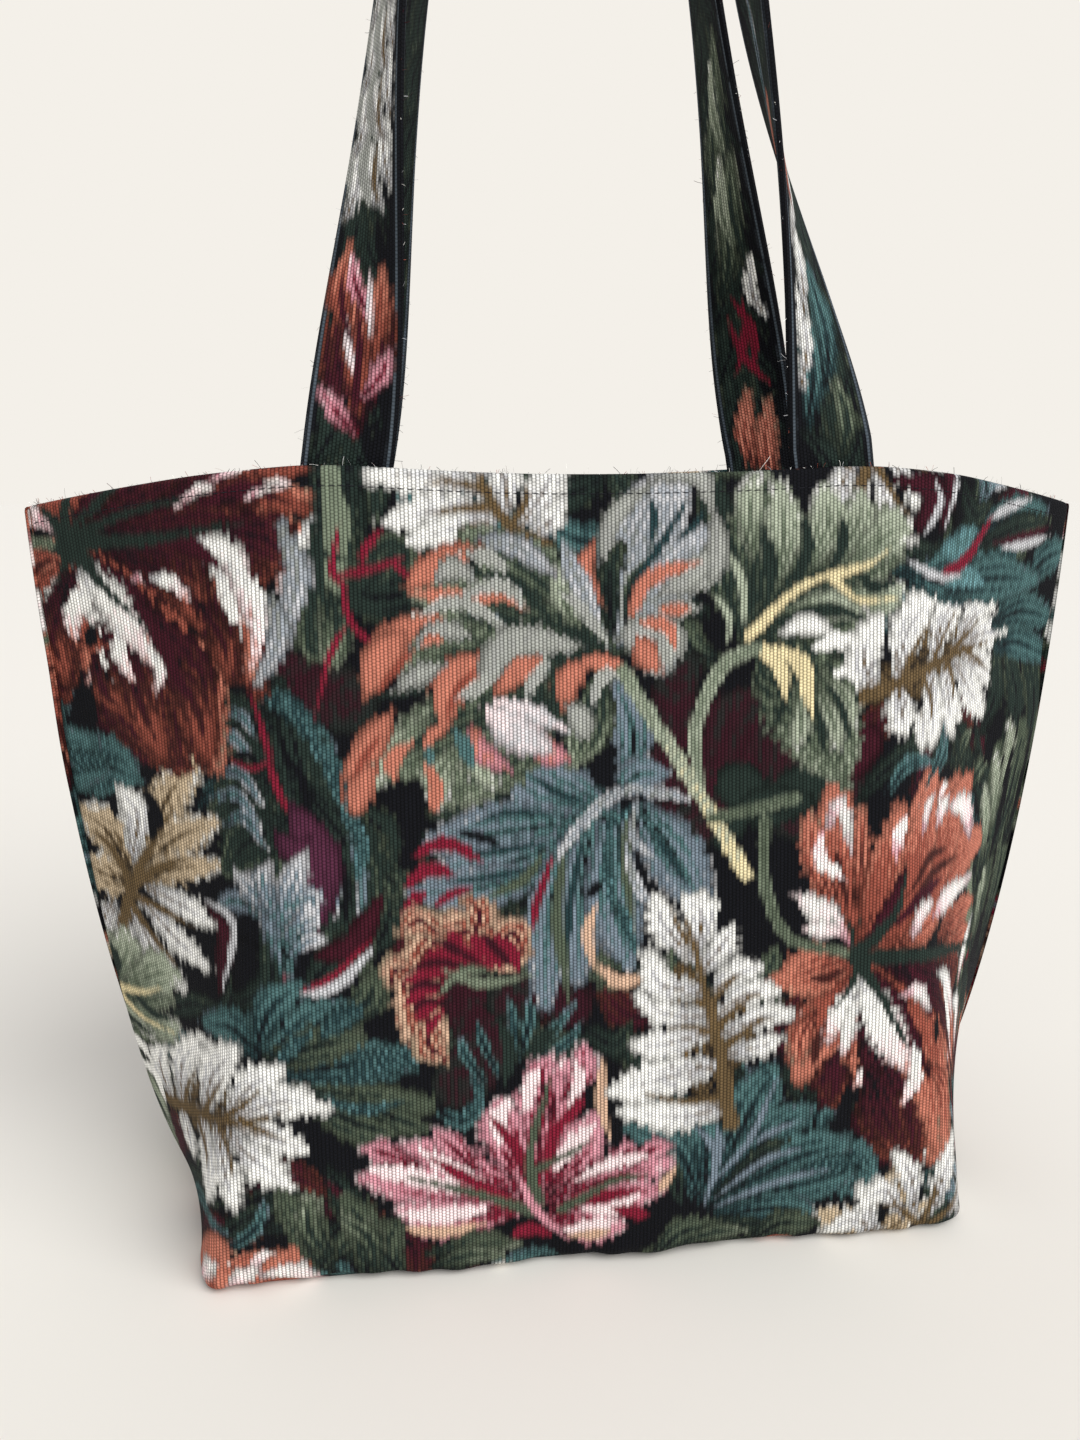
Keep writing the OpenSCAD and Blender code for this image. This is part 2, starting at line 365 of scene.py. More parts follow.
def moved(motif: Motif, du: float, dv: float) -> Motif:
    """Strokes shifted on the cloth."""
    return redrawn(motif, lambda u, v: (u + du, v + dv))


def stretched(motif: Motif, share: float) -> Motif:
    """Strokes drawn out along the cloth."""
    return redrawn(motif, lambda u, v: (u * share, v), share**0.5)


def widened(motif: Motif, share: float, swell: float = 1.2) -> Motif:
    """Strokes drawn out to the right of their hub, and broader where they end there.

    Args:
        motif: Strokes about their hub.
        share: How far out the points on the right lie.
        swell: How much broader the strokes on the right are.

    Returns:
        The strokes in the same order.
    """
    out = []
    for s in motif:
        out += redrawn([s], lambda u, v: (u * share if u > 0 else u, v), swell if s.path[-1][0] > 0 else 1)
    return out


def in_rows(motif: Motif, first: float, count: int, pitch: float) -> Motif:
    """A motif laid again and again along a strap."""
    return [stroke for k in range(count) for stroke in moved(motif, 0, first + k * pitch)]


@dataclass(frozen=True)
class Undergrowth:
    """Dark leaves strewn evenly behind the ornament, each turned on from the one before."""

    shades: tuple[Shade, ...] = (PINY, TEALY, PINY, DUSKY, MOSSY)
    count: int = 84
    span_u: float = 287
    span_v: float = 336
    start_u: float = 143
    step_u: float = 177.4
    step_v: float = 64.9
    step_turn: float = 2.4
    width: float = 8
    length: float = 27
    bend_at: float = 14
    bend_turn: float = 0.4

    def motif(self) -> Motif:
        """Lays the leaves out.

        Returns:
            One lobe for each leaf.
        """
        lobes = []
        for k in range(self.count):
            u = (k * self.step_u) % self.span_u - self.start_u
            v = (k * self.step_v) % self.span_v
            turn = k * self.step_turn
            bend = turn + self.bend_turn
            path = ((u, v),
                    (u + self.bend_at * math.cos(bend), v + self.bend_at * math.sin(bend)),
                    (u + self.length * math.cos(turn), v + self.length * math.sin(turn)))
            lobes.append(Stroke(self.shades[k % len(self.shades)], LOBE, self.width, path))
        return lobes


# Leaves in cloth millimetres: each row is a width and then the points of a stroke

# Dark patches of the ground
GROUND_PATCHES = leaf(
    (EMBER, BAND, (24, 40, 196, 62, 204, 80, 190), (9, 30, 212, 28, 226, 30, 234),
     (12, -50, 112, -44, 96, -54, 80), (9, -12, 108, -22, 112, -36, 112), (10, 24, 176, 34, 174),
     (12, -116, 232, -100, 228, -92, 224)),
    (WINE, BAND, (7, 96, 196, 104, 204), (8, 120, 40, 110, 52)),
    (PINE, BAND, (9, 52, 190, 64, 182, 84, 192), (5, 46, 170, 60, 184, 76, 182)),
)
# Dark bed of the cream spray on the front
SPRAY_BED = leaf((NAVY, BAND, (21, 130, 236, 176, 242)))
# One row of dark foliage on both faces of a strap
STRAP_ROW = leaf(
    (PINY, LOBE, (9, 6, 0, 14, 14, 18, 30), (8, 26, 4, 20, 18, 24, 30),
     (9, 38, 0, 46, 14, 50, 30), (8, 60, 4, 54, 18, 58, 30)),
    (EDGE_DOTS, BAND, (0.8, 0.6, 0, 0.6, 22), (0.8, 29, 0, 29, 22), (0.8, 34, 0, 34, 22),
     (0.8, 62.4, 0, 62.4, 22)),
    (NAVY, BLADE, (2.4, 2, 0, 8, 12, 10, 24), (2.2, 34, 0, 40, 12, 44, 24)),
)
# Rust and rose leaf on the left leg of the front strap
RUST_SPRIG = leaf(
    (DUSKY, LOBE, (8, 14, -266, 20, -250, 24, -232), (8, 12, -262, 8, -244, 4, -228)),
    (RUSTY, LOBE, (7, 14, -260, 14, -240, 18, -216), (6, 10, -244, 8, -228, 6, -214),
     (6, 18, -236, 24, -222, 22, -206)),
    (ROSY, LOBE, (4.5, 14, -268, 20, -262, 26, -256), (4.5, 12, -256, 6, -248, 3, -240),
     (4, 12, -228, 18, -218, 20, -210)),
    (BLUSHY, BLADE, (1.7, 14, -252, 18, -240, 20, -230), (1.5, 10, -236, 11, -226, 12, -214)),
    (WINE, BLADE, (1.6, 14, -266, 14, -244, 16, -220), (1.4, 16, -240, 22, -228, 24, -214)),
)
# One row of dotted cream lobes above it
CREAM_ROW = leaf(
    (CREAMY, LOBE, (7, 8, 0, 16, 10, 20, 26), (6, 26, -4, 22, 8, 26, 20), (6, 4, 6, 8, 18, 6, 30),
     (6, 42, 0, 48, 12, 44, 26)),
    (DOTTY, BLADE, (3, 14, 0, 20, 14, 16, 28), (2.4, 26, 4, 28, 16, 24, 26)),
    (UMBER, BLADE, (1.2, 10, 0, 13, 10, 12, 20)),
)
# Teal, cream and sage leaves on the right leg of the front strap
TEAL_SPRIG = leaf(
    (TEALY, LOBE, (7, 6, 262, 10, 244, 8, 222), (7, 16, 250, 20, 230, 16, 208),
     (6, 44, 258, 48, 236, 52, 214)),
    (CREAMY, LOBE, (5, 4, 250, 8, 234, 4, 216), (5, 8, 226, 10, 208, 6, 192),
     (4.5, 4, 200, 10, 186, 8, 170), (5, 42, 236, 46, 214, 44, 194)),
    (SALMONY, LOBE, (4, 10, 188, 6, 176, 8, 164), (4, 50, 190, 48, 170, 52, 150)),
    (SAGEY, LOBE, (5, 18, 276, 22, 264, 20, 250), (6, 20, 176, 22, 156, 18, 134),
     (6, 12, 150, 10, 128, 14, 106), (6, 50, 130, 52, 106, 48, 84)),
    (STEELY, BLADE, (2.4, 14, 140, 16, 116, 14, 92), (2.2, 46, 160, 48, 136, 46, 112)),
)
# Rust palmate leaf about its own hub
RUST_LEAF = leaf(
    (DUSKY, LOBE, (15, 2, -22, 12, -62, 18, -88), (14, 4, -4, 24, -18, 46, -18)),
    (EMBERY, LOBE, (13, -4, -6, -14, -34, -14, -60)),
    (RUSTY, LOBE, (13, -4, -4, -18, -28, -26, -48), (14, 0, -6, 6, -38, 8, -62),
     (14, 2, -4, 20, -32, 29, -86), (14, 4, 4, 34, 24, 58, 34), (14, 2, 2, 30, 30, 48, 60),
     (13, 2, 2, 18, 32, 26, 65), (8, -1, 2, 5, 28, 11, 55), (14, -4, 2, -11, 28, -14, 65)),
    (SALMONY, LOBE, (7, -12, 14, -22, 38, -25, 55), (5, -4, 20, -2, 40, -3, 57),
     (12.5, -3, -1, -20, -5, -36, -10), (6, -6, 4, -12, 10, -20, 16), (6, 10, 2, 22, 8, 36, 14),
     (5, 14, -14, 30, -36, 33, -48), (5, 20, -46, 29, -60, 29, -86), (6, -20, -22, -26, -32, -27, -42)),
    (DUSKY, LOBE, (11, 8, -4, 34, -26, 44, -60)),
    (SALMONY, LOBE, (7, 36, 0, 48, 4, 57, 6), (6, 40, -8, 50, -6, 57, -7),
     (5, 30, -18, 42, -36, 42, -56)),
    (DUSKY, LOBE, (10, 4, -50, 8, -66, 16, -86), (9, -8, -40, -12, -50, -12, -60)),
    (BROWN, BLADE, (2.2, 10, 10, 24, 26, 44, 30), (2, 14, 22, 24, 34, 36, 35),
     (2, -8, -6, -16, -9, -24, -9), (2, -16, -26, -20, -36, -21, -46), (1.8, -8, 18, -12, 32, -14, 40)),
    (WINE, BLADE, (4, 0, 4, 8, 16, 12, 32), (4.5, 2, -6, 12, -26, 22, -52), (3, 14, -6, 20, -16, 24, -30),
     (2.4, 8, 10, 20, 20, 34, 24), (2.6, -12, -42, -12, -50, -11, -58)),
    (FLAME, BLADE, (3.2, -20, 48, -20, 38, -10, 29), (4.2, -18, 50, -12, 58, -7, 40),
     (2.6, 2, 30, 5, 36, 6, 42), (3.2, 9, 36, 10, 46, 13, 52), (3.4, 20, 44, 23, 54, 27, 59),
     (4, 29, 46, 33, 52, 37, 57), (5.5, 52, 36, 48, 50, 38, 52), (6.5, -6, 4, -18, 16, -30, 25),
     (5, -5, 3, -18, 10, -27, 11), (3.6, 15, 4, 20, 14, 27, 16), (5, 26, 10, 38, 14, 56, 18),
     (3.4, 12, -18, 18, -17, 23, -26)),
    (GHOST, BLADE, (6.5, -1, -12, -10, -24, -16, -36), (5, -1, -15, -6, -30, -8, -44),
     (8.5, 0, -10, 7, -30, 17, -52), (3.4, 9, -38, 3, -48, -2, -56), (2.8, 13, -40, 7, -52, 3, -60),
     (3, 17, -38, 18, -52, 14, -64), (4, 28, -13, 38, -22, 44, -44), (3, 34, -18, 37, -34, 40, -54),
     (4.5, 44, -32, 50, -38, 47, -56), (3.6, 59, -2, 54, -16, 50, -28)),
    (NAVY, BLADE, (2.4, 26, -30, 26, -35, 25, -41), (2.6, 1, -33, 1, -37, 0, -43),
     (2.6, -6, 3, -13, 5, -19, 6)),
    (PINE, HORN, (3, -4, -2, 18, -3, 46, -10, 74, -18), (2.8, -3, -2, 6, -18, 15, -40),
     (2.4, -3, -1, -5, 8, -12, 17), (2.8, -3, -1, 9, 14, 14, 32), (2.2, -3, -1, 0, 16, 3, 28),
     (2, -2, -4, -6, -14, -12, -22)),
)
# Cream acanthus about the foot of its spine: it grows up and to the left
CREAM_LEAF = leaf(
    (HEARTY, LOBE, (13, 0, 4, -10, 30, -18, 62), (9, 0, 20, 4, 36, 6, 48)),
    (CREAMY, LOBE, (10.8, -4, 24, -26, 20, -44, 16), (8, 0, 6, -18, 4, -42, 8),
     (8, -6, 38, -24, 34, -36, 34), (6.7, -8, 44, -24, 46, -35, 54), (8, -10, 54, -26, 58, -31, 70),
     (8, -12, 66, -24, 80, -28, 92), (9.4, -12, 70, -10, 84, -16, 90), (6.7, -10, 62, -2, 72, 2, 78),
     (7.4, -6, 54, 4, 60, 12, 62), (6.7, -4, 44, 8, 52, 20, 52), (6.7, -2, 36, 14, 42, 26, 42),
     (6.1, 0, 28, 14, 30, 21, 33)),
    (UMBER, HORN, (3.4, 2, -1, -4, 36, -16, 82), (1.6, -2, 30, 12, 40, 18, 41),
     (1.5, -3, 40, 8, 50, 14, 51), (1.4, -6, 50, 2, 58, 5, 59), (1.8, -2, 10, -16, 10, -34, 15),
     (1.4, -4, 36, -14, 40, -24, 40), (1.4, -16, 74, -20, 82, -22, 88)),
)
# Dark-green strip with a sage edge and a crimson tendril
GREEN_STRIP = leaf(
    (PINY, BAND, (10, -93, 306, -95, 276, -100, 246), (9, -72, 262, -84, 262, -74, 276)),
    (SAGE, BLADE, (4, -96, 318, -93, 284, -97, 248)),
    (SAGEY, BLADE, (7, -96, 264, -94, 248, -99, 234)),
    (CRIMSON, BLADE, (1.4, -92, 286, -95, 270, -90, 264), (1.4, -96, 268, -84, 270, -68, 276),
     (1.6, -86, 268, -83, 278, -76, 286), (1.4, -92, 268, -89, 252, -80, 243),
     (1.3, -76, 274, -70, 270, -67, 264), (1.2, -90, 252, -97, 240, -103, 218)),
)
# Dark-green leaf with bright teal edges and crimson veins
GREEN_LEAF = leaf(
    (PINY, LOBE, (20, -118, 230, -112, 196, -104, 150), (14, -120, 216, -134, 216, -144, 206),
     (14, -118, 198, -132, 190, -144, 182), (13, -114, 182, -130, 174, -140, 164),
     (14, -106, 192, -93, 172, -86, 148), (13, -102, 162, -94, 146, -90, 128)),
    (STEELY, BLADE, (2.6, -144, 198, -132, 199, -123, 188), (2.4, -146, 189, -134, 191, -124, 180),
     (2.6, -141, 180, -131, 183, -122, 172), (2.4, -143, 212, -134, 212, -125, 203),
     (2.2, -138, 222, -130, 220, -124, 212), (2, -92, 176, -88, 160, -90, 140),
     (2, -104, 178, -98, 162, -98, 146)),
    (RIBBED, BLADE, (4.5, -125, 229, -110, 222, -101, 206), (3.4, -106, 216, -97, 200, -92, 180),
     (2.6, -92, 186, -88, 172, -90, 160)),
    (NAVY, BLADE, (1.8, -116, 210, -108, 196, -106, 180), (1.6, -138, 204, -128, 206, -122, 198),
     (1.6, -98, 176, -94, 160, -95, 144)),
    (CRIMSON, BLADE, (1.3, -128, 234, -121, 212, -119, 199), (1.1, -119, 204, -127, 201, -137, 204),
     (1.4, -121, 206, -117, 194, -111, 181)),
)
# Lilac curl blossom on a plum swirl with crimson stems
LILAC_BLOSSOM = leaf(
    (PLUM, BLADE, (9, -112, 188, -104, 166, -108, 136), (5, -118, 178, -112, 172, -106, 176)),
    (NAVY, BAND, (9, -132, 130, -130, 122)),
    (PINY, BLADE, (6, -140, 112, -122, 124, -124, 148), (7, -112, 118, -98, 132, -86, 144)),
    (STEELY, LOBE, (7, -116, 124, -118, 142, -124, 152), (6, -116, 132, -108, 148, -112, 162),
     (5, -122, 148, -136, 152, -146, 148)),
    (FROSTY, LOBE, (7, -120, 140, -114, 156, -109, 169), (6, -120, 148, -128, 156, -136, 162),
     (5, -118, 144, -124, 160, -122, 166), (3.5, -114, 142, -107, 146, -104, 144),
     (3, -114, 134, -108, 138, -103, 138), (4, -114, 152, -106, 154, -107, 148)),
    (WINE, BLADE, (4.5, -150, 148, -142, 136, -146, 116), (5, -106, 132, -92, 136, -80, 156)),
    (MIST, BLADE, (2, -150, 150, -138, 142, -144, 118), (2.2, -118, 118, -100, 120, -85, 134)),
    (CRIMSON, BLADE, (1.4, -116, 130, -121, 112, -148, 102), (1.3, -120, 118, -102, 123, -86, 137)),
)
# Beige acanthus with a brown swirl at the left edge
BEIGE_LEAF = leaf(
    (BEIGY, LOBE, (9.2, -186, 160, -170, 186, -152, 204), (9.2, -190, 156, -166, 172, -146, 180),
     (8.2, -190, 152, -168, 160, -146, 164), (11.3, -196, 156, -206, 172, -222, 180),
     (12.3, -196, 150, -210, 152, -226, 156)),
    (CREAMY, LOBE, (8, -192, 162, -186, 180, -194, 190), (7, -186, 150, -166, 146, -150, 141),
     (7, -192, 146, -172, 132, -154, 124), (7, -198, 140, -184, 120, -170, 112),
     (9, -204, 136, -206, 118, -200, 104), (9, -210, 140, -224, 126, -234, 116)),
    (UMBER, HORN, (3, -206, 130, -190, 156, -166, 184), (2.4, -194, 150, -176, 160, -156, 166),
     (2, -196, 146, -176, 142, -160, 138), (2, -196, 152, -206, 166, -218, 172),
     (1.8, -198, 142, -184, 128, -172, 120)),
    (NAVY, BLADE, (3, -180, 192, -176, 180, -180, 170), (2, -164, 156, -156, 154, -148, 154)),
)
# Ribbed teal lobe above the beige acanthus
TEAL_PATCH = leaf(
    (TEALY, BLADE, (15, -240, 196, -206, 200, -182, 194)),
    (RIBBED, BLADE, (4, -230, 206, -208, 206, -190, 202), (4, -232, 192, -208, 194, -188, 190)),
)
# Large salmon and sage leaf with dotted bands
SALMON_LEAF = leaf(
    (SAGEY, LOBE, (14, 0, 246, -22, 268, -46, 283), (15, -2, 246, -34, 254, -62, 264),
     (16, -6, 240, -40, 238, -74, 244), (16, -16, 228, -50, 216, -80, 200),
     (13, -12, 226, -34, 206, -56, 190), (10, 0, 234, -4, 216, -10, 203)),
    (PALE_SAGE, LOBE, (6, -60, 218, -76, 208, -84, 192), (6, -36, 212, -44, 202, -40, 194),
     (7, -52, 208, -60, 198, -60, 188), (5, -8, 250, -14, 262, -16, 272)),
    (LILAC, BLADE, (5, -46, 282, -30, 280, -16, 270), (4, -14, 282, -8, 268, 0, 252)),
    (PINE, BLADE, (2.2, -46, 270, -32, 268, -16, 252), (2.2, -50, 254, -36, 255, -22, 247),
     (1.9, -60, 240, -46, 242, -36, 247), (2.2, -80, 226, -66, 230, -56, 237),
     (2, -58, 224, -62, 214, -72, 207), (2.4, -76, 216, -80, 209, -83, 203),
     (2.4, -40, 226, -26, 222, -12, 227), (2, -18, 252, -8, 249, 2, 243)),
    (SALMON, BLADE, (6, -70, 265, -58, 273, -43, 280), (3, -68, 263, -52, 262, -34, 262),
     (2.6, -42, 266, -34, 263, -27, 258), (6.5, -64, 256, -75, 245, -80, 234),
     (6.5, -70, 250, -79, 239, -85, 226), (2.6, -54, 253, -64, 254, -70, 250),
     (7, -40, 241, -54, 232, -58, 213), (4.6, -22, 238, -32, 234, -39, 227),
     (2, -22, 243, -28, 240, -35, 238), (5.5, -4, 239, -12, 232, -14, 221), (3, -8, 239, 2, 238, 11, 234),
     (5.5, -76, 221, -84, 208, -94, 195), (5.5, -82, 202, -88, 192, -90, 183),
     (3, -69, 210, -76, 203, -75, 195), (3, -65, 203, -61, 194, -62, 184),
     (2.2, -57, 217, -62, 212, -65, 207)),
    (CORAL, BLADE, (4.5, -47, 216, -45, 207, -34, 199), (5, -28, 213, -20, 206, -12, 203)),
    (RUST, BLADE, (1.6, -66, 244, -74, 236, -80, 228), (1.6, -46, 236, -53, 228, -56, 218),
     (1.5, -80, 212, -86, 204, -90, 197)),
    (DOTTY, BLADE, (4.6, -60, 267, -53, 272, -45, 268), (2.8, -50, 278, -40, 276, -33, 271),
     (2.8, -52, 262, -36, 266, -27, 258), (2.8, -67, 255, -50, 260, -33, 250),
     (4.2, -68, 243, -58, 250, -46, 248), (4.2, -75, 228, -66, 234, -57, 238),
     (6.5, -44, 230, -32, 246, -6, 244), (2.6, -53, 226, -44, 230, -37, 237),
     (3.2, -28, 226, -24, 234, -20, 242), (2.4, -14, 264, -6, 257, 3, 244),
     (5, -13, 223, -8, 218, -5, 209), (2.8, -4, 222, 1, 233, 11, 233)),
    (SALMON, BLADE, (1.7, -65, 244, -61, 247, -56, 246), (3.4, -22, 240, -30, 236, -36, 230)),
    (BLUSHY, BLADE, (8, -43, 223, -32, 214, -18, 206), (3, -40, 225, -26, 221, -12, 213)),
    (LAGOON, BLADE, (2.8, -54, 215, -50, 208, -47, 200), (1.8, -64, 209, -63, 205, -63, 201)),
)
# Lilac leaf with dotted lobes and a salmon core
DOTTED_LEAF = leaf(
    (LILAC, LOBE, (17, 8, 250, 15, 280, 28, 306), (12, 12, 252, 28, 270, 38, 284)),
    (DOTTY, BLADE, (4.2, 1, 268, 5, 290, 20, 303), (4.2, 18, 304, 36, 305, 42, 290),
     (5, 43, 292, 43, 274, 35, 262), (6, 22, 262, 34, 270, 41, 278)),
    (PINY, BLADE, (5, 5, 248, 3, 266, 8, 284), (3, 9, 250, 12, 266, 20, 278)),
    (TEAL, BLADE, (1.8, 12, 266, 22, 280, 32, 296), (1.4, 18, 278, 20, 290, 18, 298),
     (1.4, 26, 282, 34, 286, 38, 292)),
    (SALMON, BLADE, (3, 11, 253, 18, 268, 37, 274), (4.2, -2, 282, -6, 271, 1, 259)),
    (DOTTY, BLADE, (4.2, 18, 254, 28, 257, 38, 257)),
    (SALMON, BLADE, (2.2, 22, 257, 28, 257, 34, 257)),
    (DOTTY, BAND, (7.5, 15, 248, 25, 246, 21, 240)),
    (SALMON, BLADE, (5.2, 13, 247, 17, 241, 22, 234), (2.6, 15, 253, 24, 251, 28, 243)),
)
# Sage leaf with cream-yellow veins
YELLOW_VEIN_LEAF = leaf(
    (SAGEY, LOBE, (12, 56, 246, 58, 280, 60, 302), (12, 58, 246, 80, 272, 92, 290),
     (13, 58, 246, 94, 266, 116, 274), (10, 58, 244, 90, 252, 112, 254), (8, 54, 246, 46, 268, 42, 288)),
    (PALE_SAGE, LOBE, (9, 66, 266, 69, 284, 67, 300), (9, 78, 270, 86, 286, 84, 298),
     (9, 88, 270, 99, 286, 100, 296), (11, 96, 270, 114, 282, 122, 284), (8, 92, 260, 110, 258, 120, 262),
     (7, 58, 276, 56, 292, 58, 304), (6, 68, 254, 86, 256, 104, 250)),
    (PINE, BLADE, (2.6, 62, 256, 64, 272, 60, 288), (2.6, 72, 262, 78, 276, 76, 290),
     (2.4, 86, 266, 92, 278, 92, 288), (2.4, 98, 268, 106, 262, 118, 264),
     (2.6, 64, 250, 84, 254, 104, 250), (2, 46, 258, 50, 272, 46, 290)),
    (CELADON, BLADE, (1.6, 54, 250, 53, 266, 46, 280), (1.5, 48, 244, 48, 254, 42, 262)),
    (BUTTER, HORN, (2.2, 56, 246, 76, 263, 104, 271), (1.6, 88, 265, 100, 257, 118, 258),
     (1.2, 90, 266, 104, 270, 114, 276)),
    (CREAM, BLADE, (4.5, 68, 246, 78, 249, 88, 245)),
)
# Sage drop leaf with cream-yellow hatching
DROP_LEAF = leaf(
    (SAGEY, BLADE, (21, 60, 244, 80, 220, 94, 188)),
    (PALE_SAGE, LOBE, (5, 74, 226, 76, 212, 74, 204), (5, 82, 226, 88, 212, 90, 202),
     (5, 84, 232, 94, 220, 98, 210)),
    (PINE, BLADE, (1.6, 68, 236, 70, 222, 64, 210), (1.6, 78, 222, 84, 210, 84, 200),
     (1.6, 86, 226, 92, 216, 96, 204)),
    (BUTTER, BLADE, (3, 58, 242, 68, 234, 70, 220), (3.4, 62, 242, 76, 234, 80, 214)),
    (CREAM, BLADE, (3.4, 80, 240, 92, 242, 99, 236), (3, 88, 230, 98, 230, 101, 218)),
)
# Stems of the sage and salmon leaves
STEMS = leaf(
    (PALE_STEM, BAND, (2.6, 58, 241, 46, 235, 36, 214, 37, 188)),
    (GOLDEN_STEM, BAND, (2.8, 8, 235, 22, 212, 38, 186, 55, 156)),
    (DARK_STEM, BAND, (2.2, 62, 176, 62, 152, 72, 130, 96, 122), (2.2, 42, 178, 54, 180, 74, 184)),
)
# Steel and teal acanthus that hangs from a pale vein
STEEL_LEAF = leaf(
    (PINY, LOBE, (11, -18, 184, -40, 190, -60, 184), (9, -18, 160, -44, 152, -76, 150)),
    (STEELY, LOBE, (15.6, 0, 184, -20, 193, -34, 201), (13.2, -10, 179, -34, 177, -62, 173),
     (12, -14, 172, -38, 164, -64, 160), (9.6, -18, 162, -44, 156, -70, 154),
     (10.8, -12, 174, -20, 146, -22, 110), (10.8, -4, 180, -8, 150, -10, 120),
     (12, 4, 182, 4, 150, 10, 124), (13.2, 16, 182, 27, 166, 39, 144), (9.6, 10, 196, 12, 212, 6, 230),
     (8.4, 6, 190, 14, 196, 24, 196)),
    (TEAL, BLADE, (1.5, -54, 168, -36, 170, -18, 172), (1.5, -48, 180, -34, 184, -14, 182),
     (1.5, -60, 158, -40, 160, -20, 164), (1.6, -6, 176, -12, 150, -14, 124),
     (1.6, 18, 176, 26, 164, 34, 150), (1.5, -26, 198, -16, 190, -4, 186)),
    (NAVY, BLADE, (1.8, -54, 177, -45, 175, -37, 171), (2.4, -6, 150, -2, 154, 0, 156),
     (2.2, 0, 200, 4, 192, 16, 190)),
    (MOSS, BLADE, (2.4, -14, 170, -17, 142, -13, 110), (2, -22, 168, -30, 158, -44, 152),
     (2.2, 10, 182, 9, 162, 12, 136)),
    (RIBBED, BLADE, (2.2, 3, 178, 2, 162, 4, 144), (2.4, 6, 150, 9, 138, 13, 126),
     (1.8, 12, 184, 6, 180, 0, 176)),
    (LILAC, BLADE, (2.4, 35, 187, 8, 190, -8, 178, -20, 162), (1.8, 13, 187, 12, 172, 20, 164),
     (2, 9, 170, 13, 154, 21, 144), (1.8, 16, 188, 26, 188, 34, 185)),
    (PEACH, BLADE, (2.2, -2, 148, -6, 136, -3, 121), (3, -1, 123, 6, 117, 18, 118)),
    (CRIMSON, BLADE, (1.5, -18, 168, -24, 152, -27, 136), (2.8, -70, 168, -58, 173, -45, 166),
     (3.2, -73, 157, -64, 163, -54, 161), (3, -75, 141, -70, 151, -65, 155),
     (1.7, -63, 149, -56, 154, -48, 156)),
)
# Curled peach leaf with crimson strokes
CURLED_LEAF = leaf(
    (PEACHY, BAND, (9.5, -36, 130, -48, 139, -62, 136, -70, 122, -69, 106, -65, 98)),
    (PEACHY, LOBE, (8, -40, 132, -34, 138, -30, 130), (7, -48, 138, -46, 146, -50, 151),
     (7, -60, 138, -68, 144, -74, 140), (6, -70, 124, -77, 126, -79, 121),
     (7, -66, 106, -66, 96, -60, 90)),
    (CRIMSON, BLADE, (2.8, -31, 122, -35, 131, -41, 138), (2.9, -37, 123, -45, 133, -50, 138),
     (2.8, -42, 125, -53, 133, -57, 140), (2.8, -48, 127, -60, 131, -68, 128),
     (2.8, -55, 125, -65, 124, -75, 121), (2.8, -59, 120, -68, 116, -74, 112),
     (2.7, -60, 115, -67, 109, -71, 106), (2, -60, 110, -64, 104, -66, 100)),
    (WINE, BLADE, (1.7, -34, 124, -40, 132, -45, 137), (1.7, -45, 126, -56, 133, -62, 137),
     (1.7, -52, 126, -62, 128, -72, 126), (1.7, -58, 118, -67, 120, -74, 117),
     (1.6, -60, 112, -67, 113, -72, 109)),
    (SAGE, BLADE, (2, -27, 121, -46, 119, -60, 125), (1.5, -44, 124, -54, 123, -62, 115)),
)
# Dark tuft under the curled leaf
FERN_TUFT = leaf(
    (TEALY, BLADE, (2.4, -36, 84, -34, 100, -36, 114), (2.2, -32, 88, -28, 104, -28, 112),
     (2.2, -30, 84, -20, 98, -10, 110), (2, -40, 82, -46, 96, -48, 104), (2, -26, 86, -14, 94, -8, 102),
     (2, -44, 78, -52, 90, -54, 98)),
    (PINE, BLADE, (3, -38, 78, -36, 92, -40, 104), (3, -30, 80, -24, 94, -18, 100)),
)
# Teal-green leaf with bright ribbed spots
TEAL_FAN = leaf(
    (TEALY, LOBE, (12, -124, 92, -110, 104, -96, 112), (11, -122, 88, -96, 90, -72, 90),
     (9, -126, 96, -138, 104, -152, 102), (8, -128, 100, -122, 114, -112, 122)),
    (MOSSY, LOBE, (10, -120, 82, -94, 74, -66, 72), (9, -112, 78, -92, 66, -80, 62),
     (8, -100, 104, -88, 114, -84, 124), (6, -90, 74, -76, 66, -68, 62),
     (9, -124, 94, -108, 98, -92, 100)),
    (RIBBED, BLADE, (5, -106, 100, -98, 108, -88, 113), (6.5, -100, 83, -84, 90, -64, 93),
     (3, -120, 92, -116, 98, -108, 104), (2.2, -108, 80, -92, 72, -76, 74),
     (2.2, -60, 62, -48, 72, -50, 84)),
)
# Cream acanthus spray about its brown heart
CREAM_SPRAY = leaf(
    (HEARTY, LOBE, (14, -36, -14, -8, -2, 16, 4)),
    (CREAMY, LOBE, (8.2, -36, -14, -40, -2, -34, 12), (9.2, -28, -10, -24, 8, -12, 24),
     (10.3, -12, -4, -6, 14, 6, 27), (9.2, 2, 2, 12, 14, 22, 20), (8.2, 6, 2, 22, 8, 38, 4),
     (8.2, 6, -2, 18, -6, 30, -12), (8.2, 2, -4, 14, -16, 24, -27), (9.2, -4, -4, 0, -20, 4, -32),
     (9.2, -14, -6, -10, -22, -10, -36), (8.2, -28, -12, -26, -24, -24, -30)),
    (UMBER, HORN, (2.6, -40, -17, -8, -4, 26, 5), (1.6, -26, -12, -22, 0, -14, 12),
     (1.6, -12, -5, -6, 6, 0, 16), (1.5, 0, 0, 10, 8, 16, 14), (1.5, -4, -3, 2, -12, 4, -22),
     (1.5, -18, -8, -12, -18, -11, -26), (1.5, 8, 1, 18, -4, 24, -8)),
)
